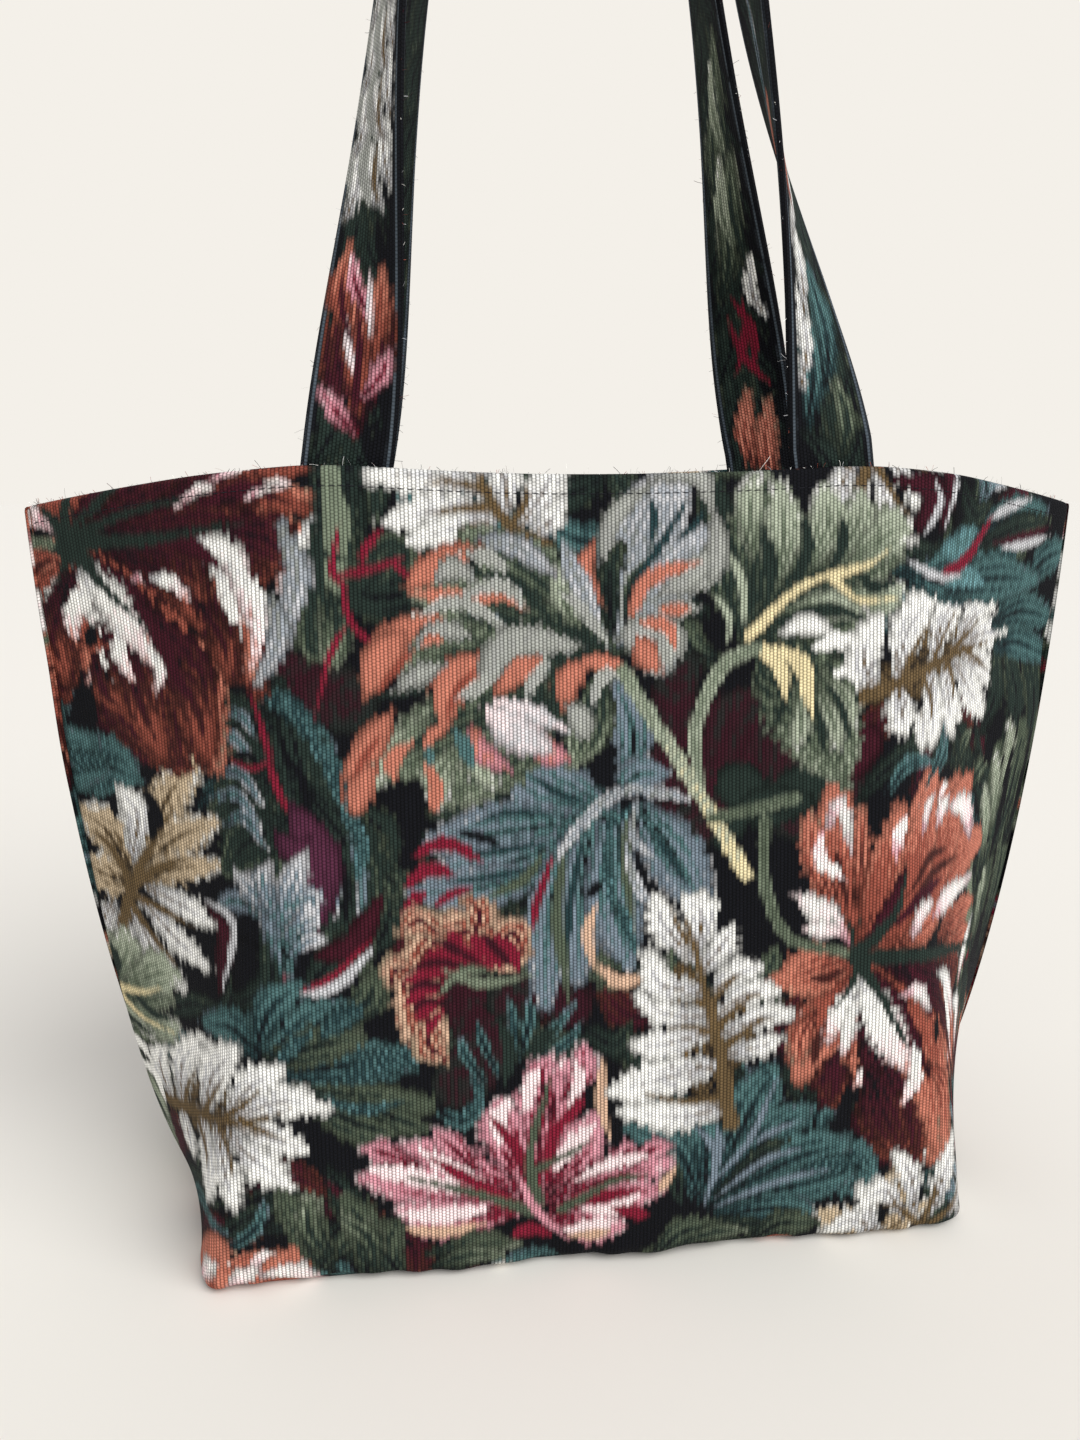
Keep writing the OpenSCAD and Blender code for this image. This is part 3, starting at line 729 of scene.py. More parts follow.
# Pink and crimson vine leaf
VINE_LEAF = leaf(
    (ROSY, LOBE, (14, -24, 30, -24, 62, -14, 84), (10.8, -28, 34, -38, 58, -40, 70),
     (10.8, -22, 34, -10, 50, -4, 62), (11.9, -30, 30, -58, 46, -78, 54),
     (10.8, -32, 28, -66, 38, -90, 44), (9.7, -30, 26, -60, 24, -78, 30), (10.8, -20, 28, 4, 38, 24, 42),
     (8.6, -18, 26, 4, 28, 22, 32), (9.7, -20, 22, -6, 16, 6, 16)),
    (ROSY, LOBE, (7.6, -20, 64, -24, 80, -20, 88), (6.5, -16, 70, -8, 82, -8, 92),
     (5.4, -2, 40, 8, 48, 12, 49), (5.4, 8, 42, 18, 48, 25, 49), (6.5, -50, 44, -58, 54, -64, 60),
     (6.5, -72, 48, -84, 54, -90, 56)),
    (PALE_TEETH, BLADE, (4, -40, 54, -40, 64, -36, 72), (3.4, -30, 66, -28, 78, -24, 84),
     (3, -14, 66, -10, 76, -10, 86), (4, -20, 40, -12, 52, -4, 60), (4, -44, 36, -58, 44, -70, 54),
     (4, -50, 34, -76, 44, -90, 48), (4, -44, 27, -62, 26, -78, 28), (3, -12, 36, 4, 44, 20, 46),
     (3, -8, 24, 4, 24, 14, 30), (3.6, -16, 14, -4, 16, 4, 18)),
    (PEACH, BLADE, (2.4, 0, 86, -1, 70, 2, 54), (2, 22, 30, 24, 34, 28, 40),
     (2.4, -78, 22, -62, 19, -46, 21), (2.4, -14, 12, -4, 12, 2, 14)),
    (CRIMSON, BLADE, (2.4, -22, 36, -20, 54, -8, 74), (2, -26, 34, -34, 52, -44, 66),
     (2.4, -32, 28, -52, 40, -66, 50), (3, 4, 24, 12, 22, 18, 20), (3, -36, 14, -28, 16, -20, 12),
     (2, -18, 26, 0, 30, 16, 32), (2, -14, 60, -10, 68, -8, 72)),
    (MOSS, HORN, (2.8, -26, 26, -28, 50, -20, 82), (2.4, -28, 24, -50, 34, -78, 44),
     (2.2, -16, 24, 4, 36, 18, 38), (1.8, -26, 42, -14, 48, -4, 54)),
    (ROSE, BLADE, (1.8, -34, 42, -26, 24, -14, 10)),
)
# Teal and steel leaf by the lower edge
BLUE_FAN = leaf(
    (TEALY, LOBE, (13, 44, 30, 58, 60, 66, 76), (11, 44, 28, 68, 50, 80, 58),
     (12, 46, 24, 78, 38, 98, 42), (10, 46, 20, 80, 26, 102, 30), (9, 38, 26, 28, 48, 10, 58),
     (8, 40, 30, 40, 50, 34, 60), (9, 48, 16, 70, 16, 84, 14)),
    (PINY, BLADE, (5, 44, 24, 62, 40, 74, 46), (4, 30, 24, 28, 36, 22, 50), (5, 36, 14, 54, 10, 74, 8)),
    (RIBBED, BLADE, (5, 78, 32, 94, 34, 106, 32), (2.4, 64, 58, 66, 70, 62, 80)),
    (STEEL, BLADE, (1.6, 40, 20, 44, 44, 34, 58), (1.5, 42, 26, 46, 46, 44, 56),
     (1.4, 42, 30, 58, 48, 68, 72), (1.4, 44, 24, 64, 38, 80, 42), (1.4, 44, 20, 70, 28, 92, 32),
     (1.4, 60, 46, 66, 50, 78, 54)),
)
# Small dark leaves and blossoms along the lower edge
LOW_LEAVES = leaf(
    (PINY, LOBE, (8, -128, 44, -116, 34, -110, 22), (8, -104, 48, -96, 32, -88, 14),
     (7, -100, 26, -108, 16, -118, 10)),
    (SAGEY, LOBE, (5, -116, 24, -112, 32, -108, 36), (6, -104, 10, -98, 18, -88, 26),
     (5, -110, 8, -116, 14, -118, 20), (5, -68, 10, -50, 14, -34, 10)),
    (WINE, BLADE, (1.5, -106, 46, -98, 34, -92, 20)),
    (SALMONY, LOBE, (8, -150, 0, -138, 10, -126, 14), (6, -152, 2, -148, 12, -142, 18)),
    (FLAME, BLADE, (3, -136, 8, -130, 14, -124, 13), (3, -150, 2, -146, 8, -142, 14)),
)
# Leaves of the row that lies above the rim on the front and shows on the back
GAP_LEAVES = leaf(
    (TEALY, LOBE, (9, -20, 318, -36, 322, -52, 318), (9, -16, 322, -24, 334, -40, 338),
     (8, 20, 312, 10, 322, -6, 326)),
    (MOSSY, LOBE, (10, 30, 320, 44, 330, 64, 332), (9, 32, 314, 52, 312, 72, 316),
     (9, 26, 324, 22, 334, 28, 344)),
    (SALMONY, LOBE, (6, 66, 322, 78, 328, 88, 326), (6, 64, 318, 76, 314, 86, 312),
     (5, 62, 322, 68, 332, 76, 336)),
    (CREAMY, LOBE, (4, 2, 314, 8, 322, 6, 332), (4, 4, 312, 14, 316, 20, 324),
     (4, 0, 314, -8, 318, -12, 312)),
)
# Copy of the rust leaf in the upper left corner of the front, in darker yarns: painted shade of that corner
SHADED_CORNER_LEAF = leaf(
    (DUSKY, LOBE, (13, -176, 292, -150, 300, -112, 306), (12, -172, 288, -146, 288, -112, 284),
     (11, -134, 286, -118, 282, -108, 272), (11, -168, 284, -152, 272, -146, 256),
     (13, -176, 270, -166, 240, -156, 202), (12, -166, 262, -152, 236, -147, 204),
     (10, -186, 276, -194, 256, -192, 236), (9, -150, 262, -138, 250, -132, 234)),
    (SHADED_RUSTY, LOBE, (8, -152, 299, -128, 308, -104, 305), (6, -134, 296, -118, 297, -104, 291),
     (7, -162, 278, -150, 268, -145, 254), (8, -172, 250, -168, 226, -162, 206),
     (8, -160, 244, -150, 226, -146, 206), (7, -188, 270, -195, 254, -193, 238),
     (6, -146, 262, -137, 248, -134, 236), (5, -182, 244, -180, 230, -174, 222)),
    (GHOST, BLADE, (6.5, -180, 282, -172, 262, -160, 236), (4, -179, 274, -186, 264, -188, 250),
     (2.6, -172, 256, -173, 244, -168, 232), (5.5, -150, 284, -130, 276, -123, 246),
     (3.4, -132, 276, -120, 258, -125, 236), (3, -160, 272, -154, 270, -149, 263),
     (2.2, -164, 248, -160, 238, -162, 228)),
    (FLAME, BLADE, (2.6, -136, 304, -124, 309, -112, 311), (2, -150, 296, -142, 301, -136, 301),
     (2, -124, 296, -116, 300, -108, 300)),
    (LILAC, LOBE, (6, -112, 286, -107, 268, -114, 246), (5, -116, 262, -114, 248, -122, 232)),
    (WINE, BLADE, (3, -172, 286, -150, 284, -134, 272), (2.4, -166, 266, -158, 246, -152, 226),
     (2, -146, 292, -128, 300, -112, 300)),
    (PINE, HORN, (3.2, -184, 290, -160, 286, -126, 288), (2.4, -182, 288, -176, 272, -162, 252),
     (2.2, -182, 291, -162, 297, -142, 298)),
)
# Leaves of the front panel alone: its right edge, its upper right corner and its base
FRONT_EDGES = leaf(
    (NAVY, BAND, (25, 230, 96, 230, 316), (9, 200, 196, 202, 236)),
    (MOSSY, LOBE, (9, 204, 100, 210, 130, 206, 160), (9, 222, 96, 228, 128, 222, 160),
     (8, 240, 100, 244, 130, 238, 160)),
    (PINY, LOBE, (7, 188, 204, 197, 222, 195, 242), (8, 196, 100, 202, 84, 212, 72)),
    (PALE_SAGE, LOBE, (5, 205, 110, 207, 132, 201, 150)),
    (PINY, LOBE, (9, 206, 196, 212, 220, 206, 244), (9, 222, 190, 228, 216, 222, 244),
     (9, 238, 196, 242, 222, 236, 250)),
    (TEALY, LOBE, (10, 190, 250, 212, 256, 236, 254), (9, 196, 240, 216, 242, 240, 236),
     (9, 206, 266, 222, 280, 240, 286)),
    (TEALY, LOBE, (8, 118, 268, 146, 264, 176, 262), (11, 150, 262, 182, 268, 216, 270),
     (9, 168, 284, 190, 294, 214, 300)),
    (RIPPLED, BLADE, (6, 140, 276, 156, 280, 170, 292), (4, 146, 264, 160, 268, 176, 266)),
    (PINY, BLADE, (7, 168, 278, 196, 290, 220, 296), (6, 150, 304, 164, 292, 176, 298)),
    (WINE, BLADE, (6, 114, 302, 136, 298, 126, 282), (2.4, 180, 282, 204, 287, 222, 294)),
    (MIST, BLADE, (1.8, 136, 302, 139, 294, 130, 281), (1.8, 122, 272, 140, 267, 158, 268),
     (2.2, 176, 291, 188, 297, 204, 303), (2, 186, 281, 204, 284, 222, 290)),
    (CRIMSON, BLADE, (2.6, 140, 268, 160, 274, 180, 294)),
    (TEALY, BLADE, (2.4, 114, 184, 124, 194, 142, 194), (2.6, 138, 184, 150, 196, 154, 210)),
    (MOSSY, LOBE, (11, 214, 148, 222, 176, 218, 206), (10, 226, 150, 236, 178, 234, 208),
     (10, 240, 156, 250, 184, 250, 214), (9, 200, 132, 208, 162, 202, 196)),
    (PALE_SAGE, LOBE, (5, 204, 146, 202, 164, 196, 180), (5, 208, 156, 208, 176, 201, 194),
     (5, 212, 168, 213, 190, 207, 208)),
    (NAVY, BLADE, (2.4, 212, 142, 216, 172, 213, 200), (2, 228, 150, 231, 180, 228, 206)),
    (MOSSY, LOBE, (9, -104, 2, -112, 22, -122, 40), (9, -92, 0, -90, 18, -98, 36),
     (8, -78, -2, -84, 12, -80, 24), (8, -60, 0, -52, 10, -40, 12), (8, 20, 0, 30, 10, 44, 12),
     (8, 60, 0, 72, 8, 86, 8)),
    (SAGEY, LOBE, (6, -104, 8, -112, 24, -112, 38), (6, -88, 4, -90, 18, -100, 28),
     (5, -66, 4, -54, 8, -40, 6), (5, 30, 4, 44, 8, 58, 6)),
    (CREAMY, LOBE, (7.2, 131, 8, 120, 20, 107, 13), (7.2, 137, 8, 133, 26, 125, 36),
     (8, 145, 8, 151, 26, 159, 40), (8, 156, 6, 170, 18, 177, 32), (6.4, 120, 2, 104, 8, 92, 2),
     (8, 162, 2, 181, 8, 196, 13), (7.2, 128, -6, 110, -12, 98, -10)),
    (UMBER, HORN, (2.4, 140, -10, 143, 6, 148, 24), (1.6, 140, 2, 128, 12, 116, 14),
     (1.6, 146, 2, 160, 12, 170, 20)),
)
# Leaves of the back strap: wine on one leg, salmon, crimson and sage on the other
BACK_STRAP_LEAVES = leaf(
    (DUSKY, LOBE, (6, 40, 270, 48, 250, 52, 226), (6, 56, 236, 48, 214, 50, 190),
     (6, 10, 262, 16, 240, 18, 214)),
    (ROSE, BLADE, (1.5, 44, 200, 48, 176, 46, 150), (1.3, 54, 230, 56, 206, 54, 180)),
    (SALMONY, LOBE, (6.5, 44, -284, 46, -268, 42, -250), (6, 52, -276, 54, -262, 50, -244),
     (6, 14, -282, 18, -264, 22, -246)),
    (CRIMSON, BLADE, (1.8, 40, -242, 50, -228, 54, -212), (1.8, 46, -236, 44, -220, 52, -204),
     (1.6, 54, -236, 48, -222, 46, -206), (1.5, 10, -240, 18, -224, 22, -204)),
    (SAGEY, LOBE, (6.5, 56, -204, 50, -186, 52, -166), (6.5, 42, -192, 46, -172, 42, -152),
     (6.5, 52, -172, 54, -152, 50, -132), (6.5, 42, -152, 46, -132, 42, -112),
     (6, 12, -200, 18, -176, 16, -150)),
    (PALE_SAGE, LOBE, (4, 48, -184, 52, -170, 50, -154), (4, 46, -150, 50, -136, 48, -120)),
    (CREAMY, LOBE, (4, 38, -214, 42, -204, 40, -192)),
)
# Cream leaf cut by the rim
RIM_LEAF = leaf(
    (CREAMY, LOBE, (9.3, -40, 300, -60, 304, -80, 303), (8.5, -40, 293, -58, 292, -76, 287),
     (7.6, -38, 290, -52, 286, -68, 281), (7.6, -34, 292, -34, 304, -40, 318),
     (8.5, -28, 288, -20, 300, -14, 312), (5.9, -24, 285, -18, 289, -13, 297),
     (9.3, -42, 306, -60, 314, -76, 322), (8.5, -36, 308, -36, 322, -40, 336)),
    (UMBER, HORN, (3.2, -18, 279, -34, 289, -46, 310), (1.8, -40, 294, -50, 293, -60, 291),
     (1.7, -32, 288, -27, 295, -26, 302), (1.6, -40, 300, -52, 302, -62, 301)),
)
# Dark leaves that fill the ground
FILLERS = leaf(
    (PINY, BLADE, (5, 100, 182, 120, 198, 146, 206), (5, 136, 186, 152, 200, 168, 206),
     (6, 80, 60, 92, 68, 98, 80), (6, -172, 98, -160, 106, -146, 110), (6, -88, 130, -80, 142, -76, 160),
     (5, 10, 224, 14, 210, 12, 200), (6, -8, 100, 4, 92, 10, 100), (5, 130, 270, 146, 280, 150, 296),
     (6, -84, 300, -88, 286, -84, 276)),
    (TEALY, BLADE, (3, 112, 184, 126, 196, 146, 194), (3, 140, 186, 154, 194, 160, 208),
     (4, -64, 70, -54, 64, -46, 70)),
)


# Sides and the repeat
class Side(Enum):
    """Which half of the bag a piece belongs to: its name and its turn about the upright axis."""

    FRONT = ("front", 1)
    BACK = ("back", -1)

    @property
    def label(self) -> str:
        """Name of the side."""
        return self.value[0]

    def turn(self, points: Array) -> Array:
        """Points of the front half turned to this side."""
        return points * (self.value[1], self.value[1], 1)


@dataclass(frozen=True)
class Ornament:
    """The leaf ornament and the way it repeats over the cloth."""

    repeat_u: float = 287
    repeat_v: float = 336
    left_fold: float = -145
    right_fold: float = 90
    right_end: float = 162
    left_share: float = 0.69
    right_share: float = 1.2
    leaf_share: float = 1.38
    front_leaf_share: float = 1.6
    front_lobes_from: float = 8
    front_spray_share: float = 1.36
    rust_at: Point = (104, 122)
    spray_at: Point = (-143, 70)
    cream_at: Point = (48, 57)
    front_spray_at: Point = (156, 238)
    back_shift: Point = (150, 40)
    strap_rows: tuple[int, int, int] = (-306, 29, 22)
    cream_rows: tuple[int, int, int] = (-192, 5, 22)
    repeats_u: int = 2
    repeats_v: int = 3
    front_seed: int = 7
    back_seed: int = 8
    strap_seed: int = 9

    def repeat(self) -> Motif:
        """Gathers every stroke of the repeat.

        Returns:
            The strokes from the ground up.
        """
        rust = moved(widened(RUST_LEAF, self.leaf_share), *self.rust_at)
        return (Undergrowth().motif() + GROUND_PATCHES + FILLERS + GAP_LEAVES + GREEN_STRIP + GREEN_LEAF
                + LILAC_BLOSSOM + TEAL_FAN + FERN_TUFT + LOW_LEAVES + self.squeezed(TEAL_PATCH) + STEEL_LEAF
                + CURLED_LEAF + BLUE_FAN + rust + self.squeezed(BEIGE_LEAF)
                + moved(CREAM_SPRAY, *self.spray_at) + VINE_LEAF + YELLOW_VEIN_LEAF + DROP_LEAF + RIM_LEAF
                + DOTTED_LEAF + SALMON_LEAF + STEMS + moved(CREAM_LEAF, *self.cream_at))

    def front_alone(self) -> Motif:
        """Gathers the strokes that lie on the front panel only.

        Returns:
            The upper left leaf in painted shade, a wider cream spray, the right half of the rust leaf and
            the edges.
        """
        spray = moved(stretched(CREAM_SPRAY, self.front_spray_share), *self.front_spray_at)
        lobes = [s for s in RUST_LEAF if s.path[-1][0] > self.front_lobes_from]
        lobes = moved(widened(lobes, self.front_leaf_share), *self.rust_at)
        return SHADED_CORNER_LEAF + SPRAY_BED + spray + lobes + FRONT_EDGES

    def drawn_in(self, u: Array | float) -> Array | float:
        """Place of the pattern to the left of the left fold."""
        return self.left_fold + self.left_share * (u - self.left_fold)

    def squeezed(self, motif: Motif) -> Motif:
        """Strokes drawn in to the left of the left fold."""
        return redrawn(motif, lambda u, v: (u if u > self.left_fold else self.drawn_in(u), v))

    def lie(self, u: Array) -> Array:
        """Place of the pattern on the front panel, drawn out on the left and in on the right.

        Args:
            u: Distances along the cloth.

        Returns:
            Distances in the pattern.
        """
        right = self.right_fold + self.right_share * (np.minimum(u, self.right_end) - self.right_fold)
        right = right + np.maximum(u - self.right_end, 0)
        return np.where(u < self.left_fold, self.drawn_in(u), np.where(u > self.right_fold, right, u))

    def card(self, u: Array, v: Array, side: Side) -> Card:
        """Weaves the card of a panel.

        Args:
            u: Edges of its columns.
            v: Edges of its rows.
            side: Panel to weave.

        Returns:
            The woven card.
        """
        middle_u, middle_v = (u[:-1] + u[1:]) / 2, (v[:-1] + v[1:]) / 2
        if side is Side.BACK:
            shift_u, shift_v = self.back_shift
            return self.woven(Card(middle_u + shift_u, middle_v + shift_v, seed=self.back_seed))
        card = self.woven(Card(self.lie(middle_u), middle_v, seed=self.front_seed))
        for stroke in self.front_alone():
            card.weave(stroke)
        return card

    def strap_card(self, u: Array, v: Array, side: Side) -> Card:
        """Weaves the card of a strap.

        Args:
            u: Edges of its columns, once round the strap.
            v: Edges of its rows.
            side: Strap to weave.

        Returns:
            The woven card.
        """
        card = Card((u[:-1] + u[1:]) / 2, (v[:-1] + v[1:]) / 2, seed=self.strap_seed)
        leaves = RUST_SPRIG + in_rows(CREAM_ROW, *self.cream_rows) + TEAL_SPRIG
        if side is Side.BACK:
            leaves = BACK_STRAP_LEAVES
        for stroke in in_rows(STRAP_ROW, *self.strap_rows) + leaves:
            card.weave(stroke)
        return card

    def woven(self, card: Card) -> Card:
        """Lays the whole repeat on a card, with its half drop.

        Args:
            card: Card to weave on.

        Returns:
            The same card.
        """
        columns = range(-self.repeats_u, self.repeats_u + 1)
        rows = range(-self.repeats_v, self.repeats_v + 1)
        moves = [(i * self.repeat_u, (2 * j + i) * self.repeat_v / 2) for i in columns for j in rows]
        for stroke in self.repeat():
            for move in moves:
                card.weave(stroke, move)
        return card


# Form of the bag
def unit(vectors: Array) -> Array:
    """Vectors at a length of one."""
    return vectors / np.linalg.norm(vectors, axis=-1, keepdims=True)


def normals_of(points: Array) -> Array:
    """Outward normals of a grid of points."""
    return unit(np.cross(np.gradient(points, axis=1), np.gradient(points, axis=0)))


def hump(distance: Array, reach: float) -> Array:
    """A soft hump, 1 at no distance."""
    return np.exp(-((distance / reach) ** 2))


@dataclass(frozen=True)
class Wave:
    """One soft wave: its size, its lengths along and up the cloth, and its phase."""

    size: float
    along: float = math.inf
    up: float = math.inf
    phase: float = 0.0

    def at(self, u: Array, v: Array, wander: Array | float = 0.0) -> Array:
        """Height of the wave at points of the cloth, with a wandering phase."""
        return self.size * np.sin(u / self.along + v / self.up + self.phase + wander)


@dataclass(frozen=True)
class Ripples:
    """Soft unevenness of the sewn cloth, in millimetres."""

    hollows: Wave = Wave(0.9, along=21)
    hollow_wander: Wave = Wave(0.9, up=60)
    hollow_rows: Wave = Wave(1.0, up=47, phase=0.6)
    rolls: Wave = Wave(0.7, along=37, up=-55, phase=1.3)
    foot_waves: Wave = Wave(0.5, along=13, up=90)
    foot_fade: float = 60
    seam_puckers: Wave = Wave(0.5, along=3.1)
    seam_wander: Wave = Wave(1.0, along=11)
    seam_fade: float = 9
    base_puckers: Wave = Wave(1.4, along=14)
    base_wander: Wave = Wave(0.8, along=33)
    base_fade: float = 22
    rim_waves: Wave = Wave(0.6, along=16, phase=0.4)
    rim_fade: float = 30
    still_below: float = 6
    flank_u: float = 202
    flank_reach: float = 20
    bulge: float = 3.0
    bulge_v: float = 205
    bulge_reach: float = 18
    dent: float = 3.6
    dent_v: float = 243
    dent_reach: float = 16

    def outwards(self, u: Array, v: Array, height: float) -> Array:
        """How far the cloth stands out.

        Args:
            u: Distances along the cloth.
            v: Heights on the cloth.
            height: Height of the rim.

        Returns:
            Millimetres outwards at each point.
        """
        wave = self.hollows.at(u, v, self.hollow_wander.at(u, v)) * self.hollow_rows.at(u, v)
        wave = wave + self.rolls.at(u, v)
        wave = wave + self.foot_waves.at(u, v) * np.exp(-v / self.foot_fade)
        pucker = self.seam_puckers.at(u, v, self.seam_wander.at(u, v)) * hump(v, self.seam_fade)
        base = self.base_puckers.at(u, v, self.base_wander.at(u, v))
        pucker = pucker + base * np.exp(-v / self.base_fade)
        side = self.bulge * hump(v - self.bulge_v, self.bulge_reach)
        side = side - self.dent * hump(v - self.dent_v, self.dent_reach)
        wave = wave + side * hump(np.abs(u) - self.flank_u, self.flank_reach) * (u > 0)
        rim = self.rim_waves.at(u, v) * hump(v - height, self.rim_fade)
        return (wave + rim) * np.clip(v / self.still_below, 0, 1) + pucker


@dataclass(frozen=True)
class BagForm:
    """Shape of the sewn cloth: cloth millimetres to space millimetres, front panel."""

    base_w: float = 312
    base_d: float = 142
    height: float = 306
    mouth_d: float = 90
    seam_drop: float = 15
    drop_curve: float = 1.3
    rim_dip: float = 3
    side_swell: float = 20
    face_swell: float = 6
    swell_low: float = 0.6
    base_r: float = 10
    rim_r: float = 60
    leg_spacing: float = 178
    strap_w: float = 32
    strap_t: float = 2.6
    strap_rise: float = 245
    arch_r: float = 58
    tuck: float = 26
    rim_margin: float = 20
    fold_r: float = 6
    seam_dent: float = 1.6
    seam_reach: float = 2.4
    turn_guess: float = math.pi / 3
    turn_rounds: int = 8
    ripples: Ripples = Ripples()

    @property
    def half_cut(self) -> float:
        """Half width of the cut cloth."""
        return (self.base_w + self.base_d) / 2 - (2 - math.pi / 2) * self.base_r

    @property
    def arch_up(self) -> float:
        """Height of the arch's centre above the rim."""
        return self.strap_rise - self.strap_t / 2 - self.arch_r

    @property
    def arch_reach(self) -> float:
        """Distance from a strap's foot to the arch's centre."""
        return math.hypot(self.leg_spacing / 2, self.arch_up)

    @property
    def lean(self) -> float:
        """Lean of a strap leg from upright."""
        return math.acos(self.arch_r / self.arch_reach) - math.atan2(self.arch_up, self.leg_spacing / 2)

    @property
    def mouth_half_w(self) -> float:
        """Half width of the mouth."""
        straight = (self.leg_spacing + self.strap_w) / 2 + self.tuck * math.tan(self.lean) + self.rim_margin
        return straight + math.sqrt((self.half_cut - straight) ** 2 - self.mouth_d**2 / 4)

    def rim_height(self, u: Array) -> Array:
        """Height of the rim along the cloth.

        Args:
            u: Distances along the cloth.

        Returns:
            Heights in millimetres.
        """
        s = np.abs(u)
        leg = self.leg_spacing / 2
        past = np.clip(s - leg - self.strap_w / 2, 0, None) / (self.half_cut - leg - self.strap_w / 2)
        dip = np.where(s < leg, self.rim_dip * (1 - (s / leg) ** 2), 0)
        return self.height - dip - self.seam_drop * past**self.drop_curve

    def section(self, u: Array, t: Array) -> tuple[Array, Array]:
        """Point of the wall's section at a share of the height.

        Args:
            u: Distance along the cloth from the panel's middle.
            t: Share of the height.

        Returns:
            X and Y of the point.
        """
        s = np.clip(t, 0, 1) ** self.swell_low
        swell = 4 * s * (1 - s)
        half_d = (self.base_d + (self.mouth_d - self.base_d) * t) / 2 + self.face_swell * swell
        half_w = self.base_w / 2 + (self.mouth_half_w - self.base_w / 2) * t + self.side_swell * swell
        r = self.base_r + (self.rim_r - self.base_r) * t
        turn = np.full_like(t, self.turn_guess)
        for _ in range(self.turn_rounds):
            turn = 2 * np.arctan2(self.half_cut + r * (2 * np.tan(turn / 2) - turn) - half_w, half_d)
        flank = (half_d - r * (1 - np.cos(turn))) / np.sin(turn)
        face = self.half_cut - r * turn - flank
        away = np.abs(u)
        bend = np.clip((away - face) / r, 0, turn)
        rest = np.clip(away - face - r * turn, 0, None)
        x = np.minimum(away, face) + r * np.sin(bend) + rest * np.cos(turn)
        y = r * (1 - np.cos(bend)) + rest * np.sin(turn) - half_d
        return np.sign(u) * x, y

    def wall(self, u: Array, v: Array) -> Array:
        """Points of the front wall with its rolled lower edge.

        Args:
            u: Distances along the cloth, columns.
            v: Heights on the cloth, rows.

        Returns:
            Rows by columns by 3, in millimetres.
        """
        uu, vv = np.meshgrid(u, v)
        quarter = self.fold_r * math.pi / 4
        rolled = self.fold_r * (1 - np.sin((quarter - vv) / self.fold_r))
        rise = np.where(vv < quarter, rolled, vv + self.fold_r - quarter)
        t = rise / (self.height + self.fold_r - quarter)
        x, y = self.section(uu, np.clip(t, 0, 1))
        points = np.stack([x, y, t * self.rim_height(uu)], -1)
        tuck_in = self.fold_r * (1 - np.cos(np.clip(quarter - vv, 0, None) / self.fold_r))
        seam = self.seam_dent * hump(self.half_cut - np.abs(uu), self.seam_reach)
        out = self.ripples.outwards(uu, vv, self.height) - tuck_in - seam
        return points + normals_of(points) * out[..., None]


# Meshes
@dataclass
class Cloth:
    """Quads of one piece of cloth, with a colour per cell and cell coordinates."""

    points: list[Array] = field(default_factory=list)
    quads: list[Array] = field(default_factory=list)
    cells: list[Array] = field(default_factory=list)
    colours: list[Array] = field(default_factory=list)
    count: int = 0

    def add_points(self, points: Array) -> Array:
        """Adds points.

        Args:
            points: Points in any arrangement.

        Returns:
            Their numbers in the same arrangement.
        """
        flat = points.reshape(-1, 3)
        numbers = np.arange(self.count, self.count + len(flat)).reshape(points.shape[:-1])
        self.points.append(flat)
        self.count += len(flat)
        return numbers

    def add_grid(self, numbers: Array, u: Array, v: Array, colours: Array) -> None:
        """Adds the quads between rows and columns of numbered points.

        Args:
            numbers: Point numbers, rows by columns.
            u: Cell coordinate of each column.
            v: Cell coordinate of each row.
            colours: Colour of each cell.
        """
        a, b, c, d = numbers[:-1, :-1], numbers[:-1, 1:], numbers[1:, 1:], numbers[1:, :-1]
        self.quads.append(np.stack([a, b, c, d], -1).reshape(-1, 4))
        uu, vv = np.meshgrid(u, v)
        cell = np.stack([uu, vv], -1)
        corners = np.stack([cell[:-1, :-1], cell[:-1, 1:], cell[1:, 1:], cell[1:, :-1]], 2)
        self.cells.append(corners.reshape(-1, 2))
        below = np.concatenate([colours[:1], (colours[:-1] + colours[1:]) / 2])
        above = np.concatenate([(colours[:-1] + colours[1:]) / 2, colours[-1:]])
        self.colours.append(np.stack([below, below, above, above], 2).reshape(-1, 3))

    def make(self, name: str) -> bpy.types.Object:
        """Builds the object, in metres.

        Args:
            name: Name of the piece.

        Returns:
            The new object.
        """
        piece = new_piece(name, np.vstack(self.points), np.vstack(self.quads))
        mesh = piece.data
        mesh.uv_layers.new(name="Cells").data.foreach_set("uv", np.vstack(self.cells).astype("f").ravel())
        tint = np.vstack(self.colours)
        rgba = np.hstack([tint, np.ones((len(tint), 1))]).astype("f")
        mesh.attributes.new("weave", "FLOAT_COLOR", "CORNER").data.foreach_set("color", rgba.ravel())
        mesh.update()
        return piece


def new_piece(name: str, points: Array, faces: Array | list) -> bpy.types.Object:
    """A smooth object in the scene.

    Args:
        name: Name of the piece.
        points: Its points in millimetres.
        faces: Point numbers of its faces.

    Returns:
        The new object, in metres.
    """
    mesh = bpy.data.meshes.new(name)
    mesh.from_pydata(points * MM, [], faces)
    mesh.shade_smooth()
    piece = bpy.data.objects.new(name, mesh)
    bpy.context.collection.objects.link(piece)
    return piece


